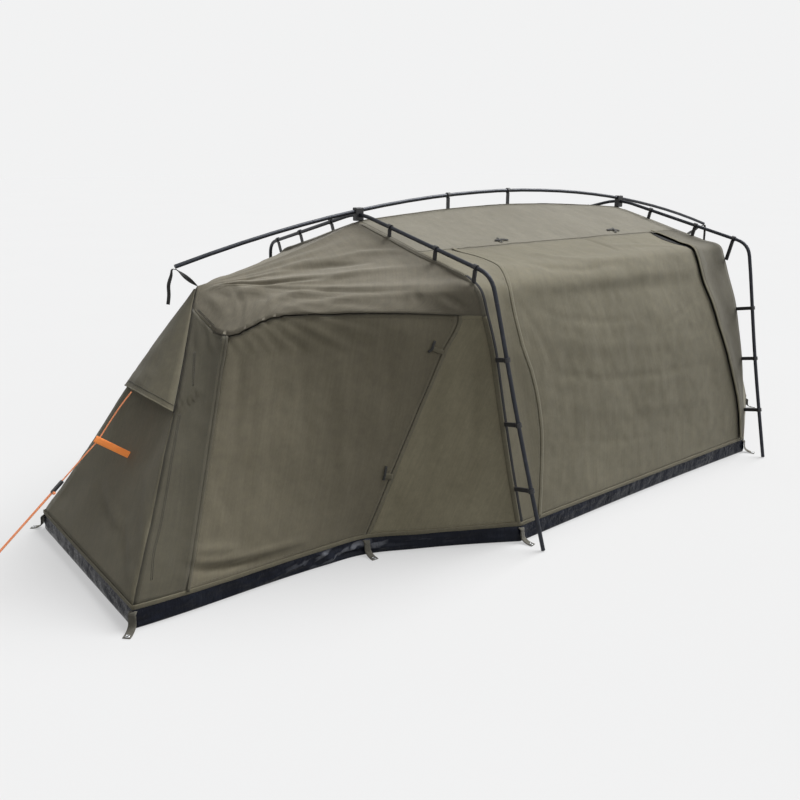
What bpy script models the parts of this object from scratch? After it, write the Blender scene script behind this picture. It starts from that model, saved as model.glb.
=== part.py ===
"""Swag bedroll: a canvas swag tent with a tapered vestibule, pitched on two hoops and a ridge pole.

Metres, +Z up. +X runs from the foot end to the head end, and the side seen in daily use is -Y.
The origin lies on the flat underside of the floor.
"""
import bpy
import bmesh
import math
from mathutils import Vector

# Places along the floor
FOOT_X = -1.390
WAIST_X = -0.743
MID_HOOP_X = -0.342
END_HOOP_X = 0.865
HEAD_X = 1.410

# Half widths of the floor at those places
FOOT_HALF = 0.348
WAIST_HALF = 0.439
BODY_HALF = 0.652
HEAD_HALF = 0.360

# Heights
TUB_HEIGHT = 0.055
RIDGE_TOP = 0.953
CANVAS_HANG = 0.079
CANVAS_TOP = RIDGE_TOP - CANVAS_HANG
FOOT_PEAK_DROP = 0.153
FOOT_PEAK_Z = CANVAS_TOP - FOOT_PEAK_DROP
HEAD_PEAK_DROP = 0.139
HEAD_PEAK_Z = CANVAS_TOP - HEAD_PEAK_DROP
FOOT_PEAK_BACK = 0.402
FOOT_SKEW = -0.055
HEAD_PEAK_BACK = 0.025
RIDGE_BOW = 0.030
RIDGE_SAG = 0.012

# Cloth
CANVAS_T = 0.003
SEAM_GAP = 0.0003
DOOR_GAP = 0.0008
RIPPLE = 0.006
FOLD_DEPTH = 0.010
WALL_SAG = 0.010
END_SAG = 0.012

# Poles
POLE_R = 0.006
FIT = 0.0003
RIDGE_MID_X = 0.237
RIDGE_FRONT_X = -1.048
RIDGE_REAR_X = 1.522
RIDGE_TIP_DROP = 0.174
HOOP_STANDOFF = 0.084
HOOP_FOOT_HALF = BODY_HALF + HOOP_STANDOFF
HOOP_CORNER_INSET = 0.074
HOOP_CORNER_HALF = BODY_HALF - HOOP_CORNER_INSET
HOOP_CORNER_DROP = 0.129
HOOP_CORNER_BEND = 0.045
HOOP_CROWN_BEND = 0.070
HOOP_LEG_BOW = 0.005
MID_HOOP_LEAN = -0.105
END_HOOP_LEAN = 0.011
FOOT_CLEAR = 0.002
SPIGOT_R = 0.0042
SPIGOT_LENGTH = 0.030
JOINT_BELOW_CORNER = 0.075

# Clips that hang the canvas on the poles
CLIP_WALL = 0.0025
CLIP_WIDTH = 0.012
CLIP_STEM = 0.005
CLIP_SEAT = 0.0005
CLIP_MOUTH = 1.1
HUB_LENGTH = 0.030
HUB_WALL = 0.004

# Floor tub and its webbing loops
TUB_FLARE = 0.004
TUB_DRAW = 0.009
WEB_W = 0.014
WEB_T = 0.002
LOOP_REACH = 0.045

# Mattress
MATTRESS_LENGTH = 2.020
MATTRESS_HALF = 0.395
MATTRESS_T = 0.060
MATTRESS_CROWN = 0.018
MATTRESS_EDGE_R = 0.022
MATTRESS_CORNER_R = 0.070
MATTRESS_HEAD_CLEAR = 0.185
# Stations across a rounded end as shares of its corner radius, and crown points across the width
MATTRESS_END_SHARES = (0.02, 0.3, 1)
MATTRESS_CROWN_SHARES = (0.6, 0.3, 0, -0.3, -0.6)
MATTRESS_STATIONS = 10

# Vent hood over the foot end
HOOD_RISE = 0.062
HOOD_SEAT = 0.0006
HOOD_LAST_ROW = 9

# Straps and guy line
STRAP_W = 0.012
STRAP_T = 0.002
STRAP_TAIL = 0.085
# Along the tail: share of the strap width out past the tip, share of the tail downwards
STRAP_TAIL_SHARES = ((1, 0.1), (1.6, 0.5), (1.8, 1))
TAB_W = 0.018
TAB_T = 0.0018
TAB_ROOT = (-1.2360, -0.0394, 0.2924)
TAB_EYE = (-1.3110, -0.0310, 0.3490)
TAB_LIFT = 0.0014
# Along the tab and half its opening, from the root to the tip past the eye
TAB_PROFILE = ((0, 0.0012), (0.045, 0.0012), (0.072, 0.0026), (0.086, 0.0036), (0.096, 0.0035),
               (0.1003, 0.0020), (0.1013, 0))
ROPE_R = 0.0018
TENSIONER_PLACE = (-1.4277, -0.0350, 0.2480)
TENSIONER_LENGTH = 0.040
TENSIONER_SPACING = 0.0055
TENSIONER_WALL = 0.0014
TENSIONER_END_SHARES = (0.5, 0.42)
STOP_DEPTH = 0.012
KNOT_R = 0.004
# The guy line's route: vent hood, tab, tensioner, turn at the ground and back into the tensioner
GUY_ROUTE = (
    (-1.2085, -0.0270, 0.4625), (-1.2285, -0.0280, 0.4430), (-1.2480, -0.0290, 0.4230),
    (-1.2800, -0.0302, 0.3860), (-1.3110, -0.0310, 0.3490), (-1.3500, -0.0320, 0.3154),
    (-1.3900, -0.03225, 0.2807), (-1.4277, -0.03225, 0.2480), (-1.4800, -0.03225, 0.2026),
    (-1.5600, -0.03225, 0.1331), (-1.6400, -0.0315, 0.0635), (-1.6800, -0.0295, 0.0283),
    (-1.7021, -0.0278, 0.0080), (-1.7059, -0.0299, 0.0046), (-1.7075, -0.0350, 0.0032),
    (-1.7059, -0.0401, 0.0046), (-1.7021, -0.0422, 0.0080), (-1.6800, -0.0405, 0.0283),
    (-1.6400, -0.0385, 0.0635), (-1.5600, -0.03775, 0.1331), (-1.4800, -0.03775, 0.2026),
    (-1.4352, -0.03775, 0.2415),
)
SLIDER_POINT = 7
GUY_STEPS = 3

# Rows of the canvas at a hoop, ridge to floor: share of the half width, share of the height
HOOP_ROW_SHARES = (
    (0, 1), (0.216, 0.956), (0.432, 0.910), (0.617, 0.873), (0.741, 0.846), (0.807, 0.814),
    (0.846, 0.727), (0.883, 0.617), (0.904, 0.495), (0.924, 0.372), (0.946, 0.250),
    (0.971, 0.128), (1, 0),
)
# The end hoop's own shares of the half width, row by row
END_HOOP_WIDTH_SHARES = (0, 0.216, 0.432, 0.610, 0.728, 0.746, 0.790, 0.848, 0.890, 0.928, 0.955, 0.980, 1)
# The same rows along the edges of the foot end and of the head end
FOOT_ROW_SHARES = (
    (0, 1), (0.013, 0.987), (0.027, 0.973), (0.040, 0.960), (0.053, 0.947), (0.067, 0.933),
    (0.085, 0.919), (0.250, 0.780), (0.390, 0.645), (0.461, 0.568), (0.640, 0.370),
    (0.800, 0.200), (1, 0),
)
HEAD_ROW_SHARES = (
    (0, 1), (0.10, 0.93), (0.20, 0.86), (0.30, 0.79), (0.39, 0.73), (0.47, 0.68), (0.54, 0.63),
    (0.64, 0.53), (0.73, 0.42), (0.81, 0.31), (0.88, 0.20), (0.94, 0.10), (1, 0),
)
SEAM_ROW = 2
SHOULDER_ROW = 5
DOOR_TOP_ROW = 6
BASE_ROW = 12

# Vestibule columns from foot end to hoop: share along the ridge, share along the shoulder, and
# the door's top edge as shares of the vestibule length, the body half width and the canvas height
RIDGE_COLUMN_SHARES = (0, 0.06, 0.22, 0.42, 0.62, 0.80, 0.87, 0.94, 1)
SHOULDER_COLUMN_SHARES = (0, 0.10, 0.27, 0.47, 0.68, 0.86, 0.91, 0.96, 1)
DOOR_TOP_SHARES = {
    1: (0.386, 0.230, 0.692), 2: (0.491, 0.322, 0.741), 3: (0.611, 0.460, 0.751),
    4: (0.735, 0.606, 0.753), 5: (0.885, 0.759, 0.744), 6: (0.901, 0.785, 0.744),
    7: (0.918, 0.813, 0.744),
}
FOOT_TO_WAIST_SHARES = (0, 0.198, 0.400, 0.600, 0.800, 1)
WAIST_TO_HOOP_SHARES = (0.310, 0.650, 1)
DOOR_LEFT_COLUMN = 1
DOOR_HINGE_COLUMN = 5
HOOP_COLUMN = 8

# Main bay columns: where the flaps' free edges run, row by row, as shares of the bay
BAY_COLUMNS = 10
FRONT_FLAP_SHARES = (0.10, 0.10, 0.10, 0.13, 0.11, 0.09, 0.082, 0.086, 0.105, 0.113, 0.106, 0.086, 0.060)
REAR_FLAP_SHARES = (0.87, 0.87, 0.87, 0.87, 0.862, 0.86, 0.862, 0.88, 0.905, 0.93, 0.952, 0.968, 0.975)
HEAD_COLUMN_SHARES = (0, 0.33, 0.67, 1)
END_FACE_COLUMNS = 6

# Clip places: share of the crown from apex to corner, share of the leg from foot to corner
CROWN_CLIP_SHARES = (0.27, 0.62, 0.895)
LEG_CLIP_SHARES = (0.25, 0.52, 0.78)
RIDGE_CLIP_SHARES = (0.285, 0.505)

COLOURS = {
    "canvas": (0.145, 0.125, 0.090, 1), "roof": (0.195, 0.175, 0.135, 1),
    "vinyl": (0.018, 0.020, 0.032, 1), "pole": (0.012, 0.014, 0.020, 1),
    "clip": (0.010, 0.010, 0.011, 1), "web": (0.015, 0.015, 0.016, 1),
    "orange": (0.80, 0.16, 0.02, 1), "foam": (0.28, 0.26, 0.22, 1),
}
ROUGHNESS = {"canvas": 0.9, "roof": 0.9, "vinyl": 0.35, "pole": 0.4, "clip": 0.5, "web": 0.8,
             "orange": 0.75, "foam": 0.9}
TUBE_SIDES = 12
RIDGE_STEPS = 12
CLIP_STEPS = 9


def clear_scene():
    for obj in list(bpy.data.objects):
        bpy.data.objects.remove(obj, do_unlink=True)


def material(kind):
    found = bpy.data.materials.get(kind)
    if found:
        return found
    made = bpy.data.materials.new(kind)
    made.use_nodes = True
    shader = made.node_tree.nodes["Principled BSDF"]
    shader.inputs["Base Color"].default_value = COLOURS[kind]
    shader.inputs["Roughness"].default_value = ROUGHNESS[kind]
    shader.inputs["Metallic"].default_value = 0
    return made


def add_object(name, bm, kind, smooth=False, pivot=None):
    """Turns a bmesh in world space into a named object whose origin is at the pivot."""
    bmesh.ops.triangulate(bm, faces=bm.faces[:])
    mesh = bpy.data.meshes.new(name)
    place = Vector(pivot) if pivot else Vector((0, 0, 0))
    bmesh.ops.translate(bm, vec=-place, verts=bm.verts[:])
    bm.to_mesh(mesh)
    bm.free()
    obj = bpy.data.objects.new(name, mesh)
    obj.location = place
    bpy.context.scene.collection.objects.link(obj)
    mesh.materials.append(material(kind))
    if smooth:
        mesh.shade_smooth()
        mesh.set_sharp_from_angle(angle=math.radians(40))
    return obj


def mix(a, b, t):
    return a + (b - a) * t


def mirrored(points):
    return [Vector((p.x, -p.y, p.z)) for p in points]


def smooth_curve(points, steps):
    """Points along a smooth curve through the given ones."""
    ends = [points[0] * 2 - points[1]] + list(points) + [points[-1] * 2 - points[-2]]
    out = []
    for i in range(len(points) - 1):
        a, b, c, d = ends[i:i + 4]
        for k in range(steps):
            t = k / steps
            out.append(0.5 * (2 * b + (c - a) * t + (2 * a - 5 * b + 4 * c - d) * t * t
                              + (3 * b - a - 3 * c + d) * t * t * t))
    return out + [points[-1]]


# The poles' centre lines

def ridge_z(x):
    reach = RIDGE_REAR_X - RIDGE_MID_X if x > RIDGE_MID_X else RIDGE_MID_X - RIDGE_FRONT_X
    return RIDGE_TOP - RIDGE_TIP_DROP * ((x - RIDGE_MID_X) / reach) ** 2


def hoop_point(hoop, y, z):
    lean = MID_HOOP_LEAN if hoop == "mid" else END_HOOP_LEAN
    start = MID_HOOP_X if hoop == "mid" else END_HOOP_X
    return Vector((start + lean * z, y, z))


def hoop_top(hoop):
    x = hoop_point(hoop, 0, CANVAS_TOP).x
    return ridge_z(x) - 2 * POLE_R - 2 * FIT


def arc_between(before, corner, after, length, steps):
    """A rounded corner: starts and ends one length away from the corner."""
    a = corner + (before - corner).normalized() * length
    b = corner + (after - corner).normalized() * length
    out = []
    for k in range(steps + 1):
        t = k / steps
        out.append(a * (1 - t) ** 2 + corner * 2 * t * (1 - t) + b * t * t)
    return out


def hoop_corners(hoop):
    """Foot, corner and peak of the near half, before its bends are rounded."""
    half_slope = HOOP_CORNER_DROP / HOOP_CORNER_HALF
    peak = hoop_top(hoop) + HOOP_CROWN_BEND * half_slope / 2
    corner_z = peak - HOOP_CORNER_DROP - HOOP_CROWN_BEND * half_slope / 2
    foot = hoop_point(hoop, -HOOP_FOOT_HALF, FOOT_CLEAR)
    corner = hoop_point(hoop, -HOOP_CORNER_HALF, corner_z)
    return foot, corner, hoop_point(hoop, 0, peak)


def leg_line(hoop):
    """Centre line of a near leg from its foot to the joint below the bend."""
    foot, corner, _ = hoop_corners(hoop)
    down = (foot - corner).normalized()
    joint = corner + down * JOINT_BELOW_CORNER
    middle = (foot + joint) / 2 + Vector((0, HOOP_LEG_BOW, 0))
    return smooth_curve([foot, middle, joint + down * SPIGOT_LENGTH], 4) + [joint]


def crown_line(hoop):
    """Centre line of the crown from the near joint over the ridge to the far one."""
    foot, corner, peak = hoop_corners(hoop)
    joint = corner + (foot - corner).normalized() * JOINT_BELOW_CORNER
    near = [joint] + arc_between(foot, corner, peak, HOOP_CORNER_BEND, 6)
    far_corner = mirrored([corner])[0]
    top = arc_between(corner, peak, far_corner, HOOP_CROWN_BEND, 6)
    straight = [mix(near[-1], top[0], k / 3) for k in (1, 2)]
    half = near + straight
    return half + top + mirrored(half)[::-1]


# Swept tubes

def frames_along(line):
    """Side and up directions at each point, carried along the line without twist."""
    out = []
    side = None
    for i, p in enumerate(line):
        ahead = line[min(i + 1, len(line) - 1)] - line[max(i - 1, 0)]
        ahead.normalize()
        if side is None:
            guide = Vector((1, 0, 0)) if abs(ahead.x) < 0.7 else Vector((0, 1, 0))
            side = ahead.cross(guide).normalized()
        side = (side - ahead * side.dot(ahead)).normalized()
        out.append((side, ahead.cross(side).normalized()))
    return out


def loft(bm, rings):
    """Skins closed rings of equal count and caps both ends."""
    rows = [[bm.verts.new(p) for p in ring] for ring in rings]
    count = len(rows[0])
    for low, high in zip(rows, rows[1:]):
        for i in range(count):
            j = (i + 1) % count
            bm.faces.new((low[i], low[j], high[j], high[i]))
    bm.faces.new(rows[0][::-1])
    bm.faces.new(rows[-1])
    bmesh.ops.recalc_face_normals(bm, faces=bm.faces[:])


def tube_rings(line, radii, sides=TUBE_SIDES):
    rings = []
    for (side, up), centre, radius in zip(frames_along(line), line, radii):
        ring = []
        for i in range(sides):
            turn = 2 * math.pi * i / sides
            ring.append(centre + (side * math.cos(turn) + up * math.sin(turn)) * radius)
        rings.append(ring)
    return rings


def moved_ring(ring, shift, scale):
    centre = sum(ring, Vector()) / len(ring)
    return [centre + shift + (p - centre) * scale for p in ring]


def pole(name, line, spigot_end=False, bores=()):
    """A pole section: a spigot may leave its last end, and bores may enter either end."""
    rings = tube_rings(line, [POLE_R] * len(line))
    ahead = (line[-1] - line[-2]).normalized()
    back = (line[0] - line[1]).normalized()
    bore_share = (SPIGOT_R + FIT) / POLE_R
    bore_depth = SPIGOT_LENGTH + 2 * FIT
    if spigot_end:
        share = SPIGOT_R / POLE_R
        rings.append(moved_ring(rings[-1], ahead * 0, share))
        rings.append(moved_ring(rings[-1], ahead * SPIGOT_LENGTH, 1))
    if "last" in bores:
        rings.append(moved_ring(rings[-1], ahead * 0, bore_share))
        rings.append(moved_ring(rings[-1], -ahead * bore_depth, 1))
    if "first" in bores:
        rings.insert(0, moved_ring(rings[0], back * 0, bore_share))
        rings.insert(0, moved_ring(rings[0], -back * bore_depth, 1))
    bm = bmesh.new()
    loft(bm, rings)
    return add_object(name, bm, "pole", smooth=True)


def pull_back(line, amount):
    """The line with its last point drawn back by a small amount."""
    step = (line[-2] - line[-1]).normalized() * amount
    return list(line[:-1]) + [line[-1] + step]


def make_hoop(hoop):
    crown = crown_line(hoop)
    pole(hoop + "_hoop_crown", crown, bores=("first", "last"))
    near = pull_back(leg_line(hoop), FIT)
    pole(hoop + "_hoop_leg_near", near, spigot_end=True)
    pole(hoop + "_hoop_leg_far", mirrored(near), spigot_end=True)


def ridge_line(tip_x):
    """Centre line of one section of the ridge pole, from its tip to the straight middle joint."""
    flat_x = RIDGE_MID_X + math.copysign(2 * SPIGOT_LENGTH, tip_x - RIDGE_MID_X)
    places = [mix(tip_x, flat_x, k / RIDGE_STEPS) for k in range(RIDGE_STEPS)]
    bow = [Vector((x, 0, ridge_z(x))) for x in places]
    return bow + [Vector((flat_x, 0, RIDGE_TOP)), Vector((RIDGE_MID_X, 0, RIDGE_TOP))]


def ridge_run():
    """The whole ridge pole's centre line, front to rear."""
    return ridge_line(RIDGE_FRONT_X) + ridge_line(RIDGE_REAR_X)[-2::-1]


def point_at_x(line, x):
    for a, b in zip(line, line[1:]):
        if a.x <= x <= b.x:
            return mix(a, b, (x - a.x) / (b.x - a.x)), (b - a).normalized()
    return line[-1], (line[-1] - line[-2]).normalized()


def make_ridge_pole():
    pole("ridge_pole_front", ridge_line(RIDGE_FRONT_X), bores=("last",))
    rear = pull_back(ridge_line(RIDGE_REAR_X), FIT)
    pole("ridge_pole_rear", rear, spigot_end=True)


# The canvas skin: columns of points from the ridge to the floor

def hoop_column(hoop):
    out = []
    for row, (y_share, z_share) in enumerate(HOOP_ROW_SHARES):
        z = TUB_HEIGHT + z_share * (CANVAS_TOP - TUB_HEIGHT)
        width = y_share if hoop == "mid" else END_HOOP_WIDTH_SHARES[row]
        out.append(hoop_point(hoop, -width * BODY_HALF, z))
    return out


def end_column(end):
    """Edge of the triangular foot or head end, on the near side."""
    foot = end == "foot"
    base_x = FOOT_X if foot else HEAD_X
    half = FOOT_HALF if foot else HEAD_HALF
    peak_z = FOOT_PEAK_Z if foot else HEAD_PEAK_Z
    back = FOOT_PEAK_BACK if foot else -HEAD_PEAK_BACK
    out = []
    for y_share, z_share in FOOT_ROW_SHARES if foot else HEAD_ROW_SHARES:
        z = TUB_HEIGHT + z_share * (peak_z - TUB_HEIGHT)
        out.append(Vector((base_x + back * z_share, -half * y_share, z)))
    return out


def vestibule_guide(shares):
    length = MID_HOOP_X - FOOT_X
    return Vector((FOOT_X + shares[0] * length, -shares[1] * BODY_HALF, shares[2] * CANVAS_TOP))


def vestibule_base(column):
    waist = Vector((WAIST_X, -WAIST_HALF, TUB_HEIGHT))
    if column <= DOOR_HINGE_COLUMN:
        foot = Vector((FOOT_X, -FOOT_HALF, TUB_HEIGHT))
        return mix(foot, waist, FOOT_TO_WAIST_SHARES[column])
    hoop = hoop_column("mid")[BASE_ROW]
    return mix(waist, hoop, WAIST_TO_HOOP_SHARES[column - DOOR_HINGE_COLUMN - 1])


def vestibule_column(column):
    """Ridge, roof with its radiating folds, shoulder, door top and straight wall."""
    if column == 0:
        return end_column("foot")
    if column == HOOP_COLUMN:
        return hoop_column("mid")
    along = RIDGE_COLUMN_SHARES[column]
    ridge = mix(end_column("foot")[0], hoop_column("mid")[0], along)
    swell = math.sin(math.pi * along)
    shoulder = mix(end_column("foot")[0], hoop_column("mid")[SHOULDER_ROW],
                   SHOULDER_COLUMN_SHARES[column])
    shoulder += Vector((0, 0, -FOLD_DEPTH * swell))
    out = []
    for row in range(SHOULDER_ROW + 1):
        t = row / SHOULDER_ROW
        p = mix(ridge, shoulder, t)
        fold = math.cos(3 * math.pi * t) * FOLD_DEPTH * math.sin(math.pi * t)
        out.append(p + Vector((0, 0, (fold - RIDGE_SAG * (1 - t)) * swell)))
    top = vestibule_guide(DOOR_TOP_SHARES[column])
    base = vestibule_base(column)
    for row in range(DOOR_TOP_ROW, BASE_ROW + 1):
        t = (row - DOOR_TOP_ROW) / (BASE_ROW - DOOR_TOP_ROW)
        out.append(mix(top, base, t))
    return out


def bay_share(column, row):
    if column == 0:
        return 0
    if column == BAY_COLUMNS:
        return 1
    front = FRONT_FLAP_SHARES[row]
    rear = REAR_FLAP_SHARES[row]
    return mix(front, rear, (column - 1) / (BAY_COLUMNS - 2))


def bay_column(column):
    """A column of the main bay: bowed ridge, straight seam row, softly rippled wall."""
    mid = hoop_column("mid")
    end = hoop_column("end")
    out = []
    for row in range(BASE_ROW + 1):
        u = bay_share(column, row)
        p = mix(mid[row], end[row], u)
        swell = math.sin(math.pi * u)
        if row < SEAM_ROW:
            p += Vector((0, 0, RIDGE_BOW * swell * (1 - row / SEAM_ROW)))
        elif row > SEAM_ROW:
            t = (row - SEAM_ROW) / (BASE_ROW - SEAM_ROW)
            hang = math.sin(math.pi * t)
            wave = math.sin(5 * math.pi * t + 2 * u) * hang * RIPPLE
            p += Vector((0, (WALL_SAG * hang + wave) * swell, 0))
        out.append(p)
    return out


def head_column(column):
    hoop = hoop_column("end")
    end = end_column("head")
    return [mix(a, b, HEAD_COLUMN_SHARES[column]) for a, b in zip(hoop, end)]


def end_face_columns(end):
    """Columns across a triangular end, near edge to far edge, drawn in at the middle."""
    edge = end_column(end)
    inward = 1 if end == "foot" else -1
    peak = edge[0].z - TUB_HEIGHT
    out = []
    for k in range(END_FACE_COLUMNS + 1):
        across = 2 * k / END_FACE_COLUMNS - 1
        column = []
        for p in edge:
            belly = (1 - across * across) * math.sin(math.pi * (p.z - TUB_HEIGHT) / peak)
            column.append(Vector((p.x + inward * END_SAG * belly, -p.y * across, p.z)))
        out.append(column)
    return out


def pitched(p):
    """The foot end as it stands, drawn a little to one side below its peak."""
    t = min(max((WAIST_X - p.x) / (WAIST_X - FOOT_X), 0), 1)
    ease = t * t * (3 - 2 * t)
    return Vector((p.x, p.y + FOOT_SKEW * ease * (1 - (p.z / FOOT_PEAK_Z) ** 2), p.z))


# The skin as one welded surface, cut into panels along its seams

class Skin:
    """Collects the faces of every panel and welds the points they share."""

    def __init__(self):
        self.points = []
        self.index = {}
        self.panels = {}

    def point(self, p):
        key = tuple(round(value / (SEAM_GAP / 10)) for value in p)
        if key not in self.index:
            self.index[key] = len(self.points)
            self.points.append(pitched(p))
        return self.index[key]

    def grid(self, panel, columns, flip):
        """Adds quads between neighbouring columns; flip turns the outside round."""
        faces = self.panels.setdefault(panel, [])
        for left, right in zip(columns, columns[1:]):
            for row in range(len(left) - 1):
                ring = [left[row], left[row + 1], right[row + 1], right[row]]
                ids = []
                for p in ring[::-1] if flip else ring:
                    if self.point(p) not in ids:
                        ids.append(self.point(p))
                if len(ids) > 2:
                    faces.append(ids)

    def face_normal(self, face):
        a, b, c = (self.points[i] for i in face[:3])
        d = self.points[face[-1]]
        return ((c - a).cross(d - b) if len(face) > 3 else (b - a).cross(c - a)).normalized()

    def inner_points(self):
        """Each point moved in by the cloth's thickness, mitred where panels meet."""
        sums = [Vector() for _ in self.points]
        touching = [[] for _ in self.points]
        for faces in self.panels.values():
            for face in faces:
                normal = self.face_normal(face)
                for k, i in enumerate(face):
                    ahead = self.points[face[(k + 1) % len(face)]] - self.points[i]
                    behind = self.points[face[k - 1]] - self.points[i]
                    sums[i] += normal * ahead.angle(behind)
                    touching[i].append(normal)
        inner = []
        for i, total in enumerate(sums):
            inward = total.normalized()
            if abs(self.points[i].z - TUB_HEIGHT) < SEAM_GAP:
                inward = Vector((total.x, total.y, 0)).normalized()
            lean = sum(inward.dot(n) for n in touching[i]) / len(touching[i])
            inner.append(self.points[i] - inward * CANVAS_T / max(lean, 0.5))
        return inner

    def seam_moves(self, faces, gap):
        """How far each border point of a panel draws back from its seam."""
        edges = {}
        for face in faces:
            for k, i in enumerate(face):
                edges[(i, face[(k + 1) % len(face)])] = self.face_normal(face)
        border = {key: n for key, n in edges.items() if key[::-1] not in edges}
        sides = {}
        for (i, j), normal in border.items():
            along = (self.points[j] - self.points[i]).normalized()
            inward = normal.cross(along).normalized()
            sides.setdefault(i, []).append(inward)
            sides.setdefault(j, []).append(inward)
        moves = {}
        for i, pair in sides.items():
            total = sum(pair, Vector())
            spread = max(1 + pair[0].dot(pair[-1]), 0.5)
            moves[i] = total / spread * gap
        return border, moves


def panel_object(skin, inner, panel, kind, pivot=None):
    """A panel of cloth as a closed solid between the skin and its inner side."""
    faces = skin.panels[panel]
    border, moves = skin.seam_moves(faces, DOOR_GAP if pivot else SEAM_GAP / 2)
    bm = bmesh.new()
    outer_verts = {}
    inner_verts = {}
    for i in sorted({i for face in faces for i in face}):
        move = moves.get(i, Vector())
        outer_verts[i] = bm.verts.new(skin.points[i] + move)
        inner_verts[i] = bm.verts.new(inner[i] + move)
    for face in faces:
        bm.faces.new([outer_verts[i] for i in face])
        bm.faces.new([inner_verts[i] for i in face[::-1]])
    for i, j in border:
        bm.faces.new((outer_verts[j], outer_verts[i], inner_verts[i], inner_verts[j]))
    return add_object(panel, bm, kind, smooth=True, pivot=pivot)


def rows_of(columns, first, last):
    return [column[first:last + 1] for column in columns]


def over_ridge(columns, last_row):
    """Columns that run from a near row over the ridge to the same far row."""
    out = []
    for column in columns:
        near = column[:last_row + 1]
        out.append(near[::-1] + mirrored(near)[1:])
    return out


def build_skin():
    """Fills the skin with every panel of the swag."""
    skin = Skin()
    vestibule = [vestibule_column(k) for k in range(HOOP_COLUMN + 1)]
    far_vestibule = [mirrored(column) for column in vestibule]
    wall = (DOOR_TOP_ROW, BASE_ROW)
    skin.grid("vestibule_roof", over_ridge(vestibule, DOOR_TOP_ROW), True)
    skin.grid("vestibule_storm_flap", rows_of(vestibule[:DOOR_LEFT_COLUMN + 1], *wall), False)
    skin.grid("vestibule_door", rows_of(vestibule[DOOR_LEFT_COLUMN:DOOR_HINGE_COLUMN + 1], *wall), False)
    skin.grid("vestibule_side_near", rows_of(vestibule[DOOR_HINGE_COLUMN:], *wall), False)
    skin.grid("vestibule_wall_far", rows_of(far_vestibule, *wall), True)
    bay = [bay_column(k) for k in range(BAY_COLUMNS + 1)]
    far_bay = [mirrored(column) for column in bay]
    side = (SEAM_ROW, BASE_ROW)
    skin.grid("main_roof", over_ridge(bay, SEAM_ROW), True)
    skin.grid("front_flap_near", rows_of(bay[:2], *side), False)
    skin.grid("main_door_near", rows_of(bay[1:-1], *side), False)
    skin.grid("rear_flap_near", rows_of(bay[-2:], *side), False)
    skin.grid("front_flap_far", rows_of(far_bay[:2], *side), True)
    skin.grid("main_door_far", rows_of(far_bay[1:-1], *side), True)
    skin.grid("rear_flap_far", rows_of(far_bay[-2:], *side), True)
    head = [head_column(k) for k in range(len(HEAD_COLUMN_SHARES))]
    skin.grid("head_shell", over_ridge(head, BASE_ROW), True)
    skin.grid("foot_end_panel", end_face_columns("foot"), True)
    skin.grid("head_end_panel", end_face_columns("head"), False)
    return skin


PANEL_KINDS = {"vestibule_roof": "roof", "main_roof": "roof"}


def make_canvas():
    skin = build_skin()
    inner = skin.inner_points()
    seam = hoop_column("mid")[SEAM_ROW]
    hinge = vestibule_column(DOOR_HINGE_COLUMN)[BASE_ROW]
    pivots = {"main_door_near": seam, "main_door_far": mirrored([seam])[0],
              "vestibule_door": hinge}
    for panel in skin.panels:
        panel_object(skin, inner, panel, PANEL_KINDS.get(panel, "canvas"), pivots.get(panel))


# Vent hood

def make_hood():
    """A bowed sheet sewn along the foot end's edges and held off its middle."""
    columns = end_face_columns("foot")
    last = HOOD_LAST_ROW
    shares = [z_share for _, z_share in FOOT_ROW_SHARES]
    slope = Vector((TUB_HEIGHT - FOOT_PEAK_Z, 0, FOOT_PEAK_BACK)).normalized()
    outer_sheet = []
    inner_sheet = []
    for k, column in enumerate(columns):
        across = 2 * k / END_FACE_COLUMNS - 1
        outer_sheet.append([])
        inner_sheet.append([])
        for row in range(1, last + 1):
            reach = (shares[1] - shares[row]) / (shares[1] - shares[last])
            rise = HOOD_SEAT + HOOD_RISE * reach * (1 - across * across)
            foot = column[row] + slope * rise
            inner_sheet[-1].append(pitched(foot))
            outer_sheet[-1].append(pitched(foot + slope * CANVAS_T))
    bm = bmesh.new()
    grid_solid(bm, outer_sheet, inner_sheet)
    add_object("vent_hood", bm, "canvas", smooth=True)


def grid_solid(bm, outer_sheet, inner_sheet):
    """A closed solid between two grids of the same size."""
    tops = [[bm.verts.new(p) for p in column] for column in outer_sheet]
    lows = [[bm.verts.new(p) for p in column] for column in inner_sheet]
    wide, tall = len(tops), len(tops[0])
    for i in range(wide - 1):
        for j in range(tall - 1):
            bm.faces.new((tops[i][j], tops[i + 1][j], tops[i + 1][j + 1], tops[i][j + 1]))
            bm.faces.new((lows[i][j], lows[i][j + 1], lows[i + 1][j + 1], lows[i + 1][j]))
    rim = [(i, 0) for i in range(wide)] + [(wide - 1, j) for j in range(1, tall)]
    rim += [(i, tall - 1) for i in range(wide - 2, -1, -1)] + [(0, j) for j in range(tall - 2, 0, -1)]
    for (a, b), (c, d) in zip(rim, rim[1:] + rim[:1]):
        bm.faces.new((tops[c][d], tops[a][b], lows[a][b], lows[c][d]))
    bmesh.ops.recalc_face_normals(bm, faces=bm.faces[:])


# Floor tub

def floor_outline():
    """Canvas foot line round the whole floor, foot end first along the near side."""
    near = [vestibule_column(k)[BASE_ROW] for k in range(HOOP_COLUMN + 1)]
    near += [bay_column(k)[BASE_ROW] for k in range(1, BAY_COLUMNS + 1)]
    near += [head_column(k)[BASE_ROW] for k in range(1, len(HEAD_COLUMN_SHARES))]
    return [pitched(p) for p in near + mirrored(near)[::-1]]


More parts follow.
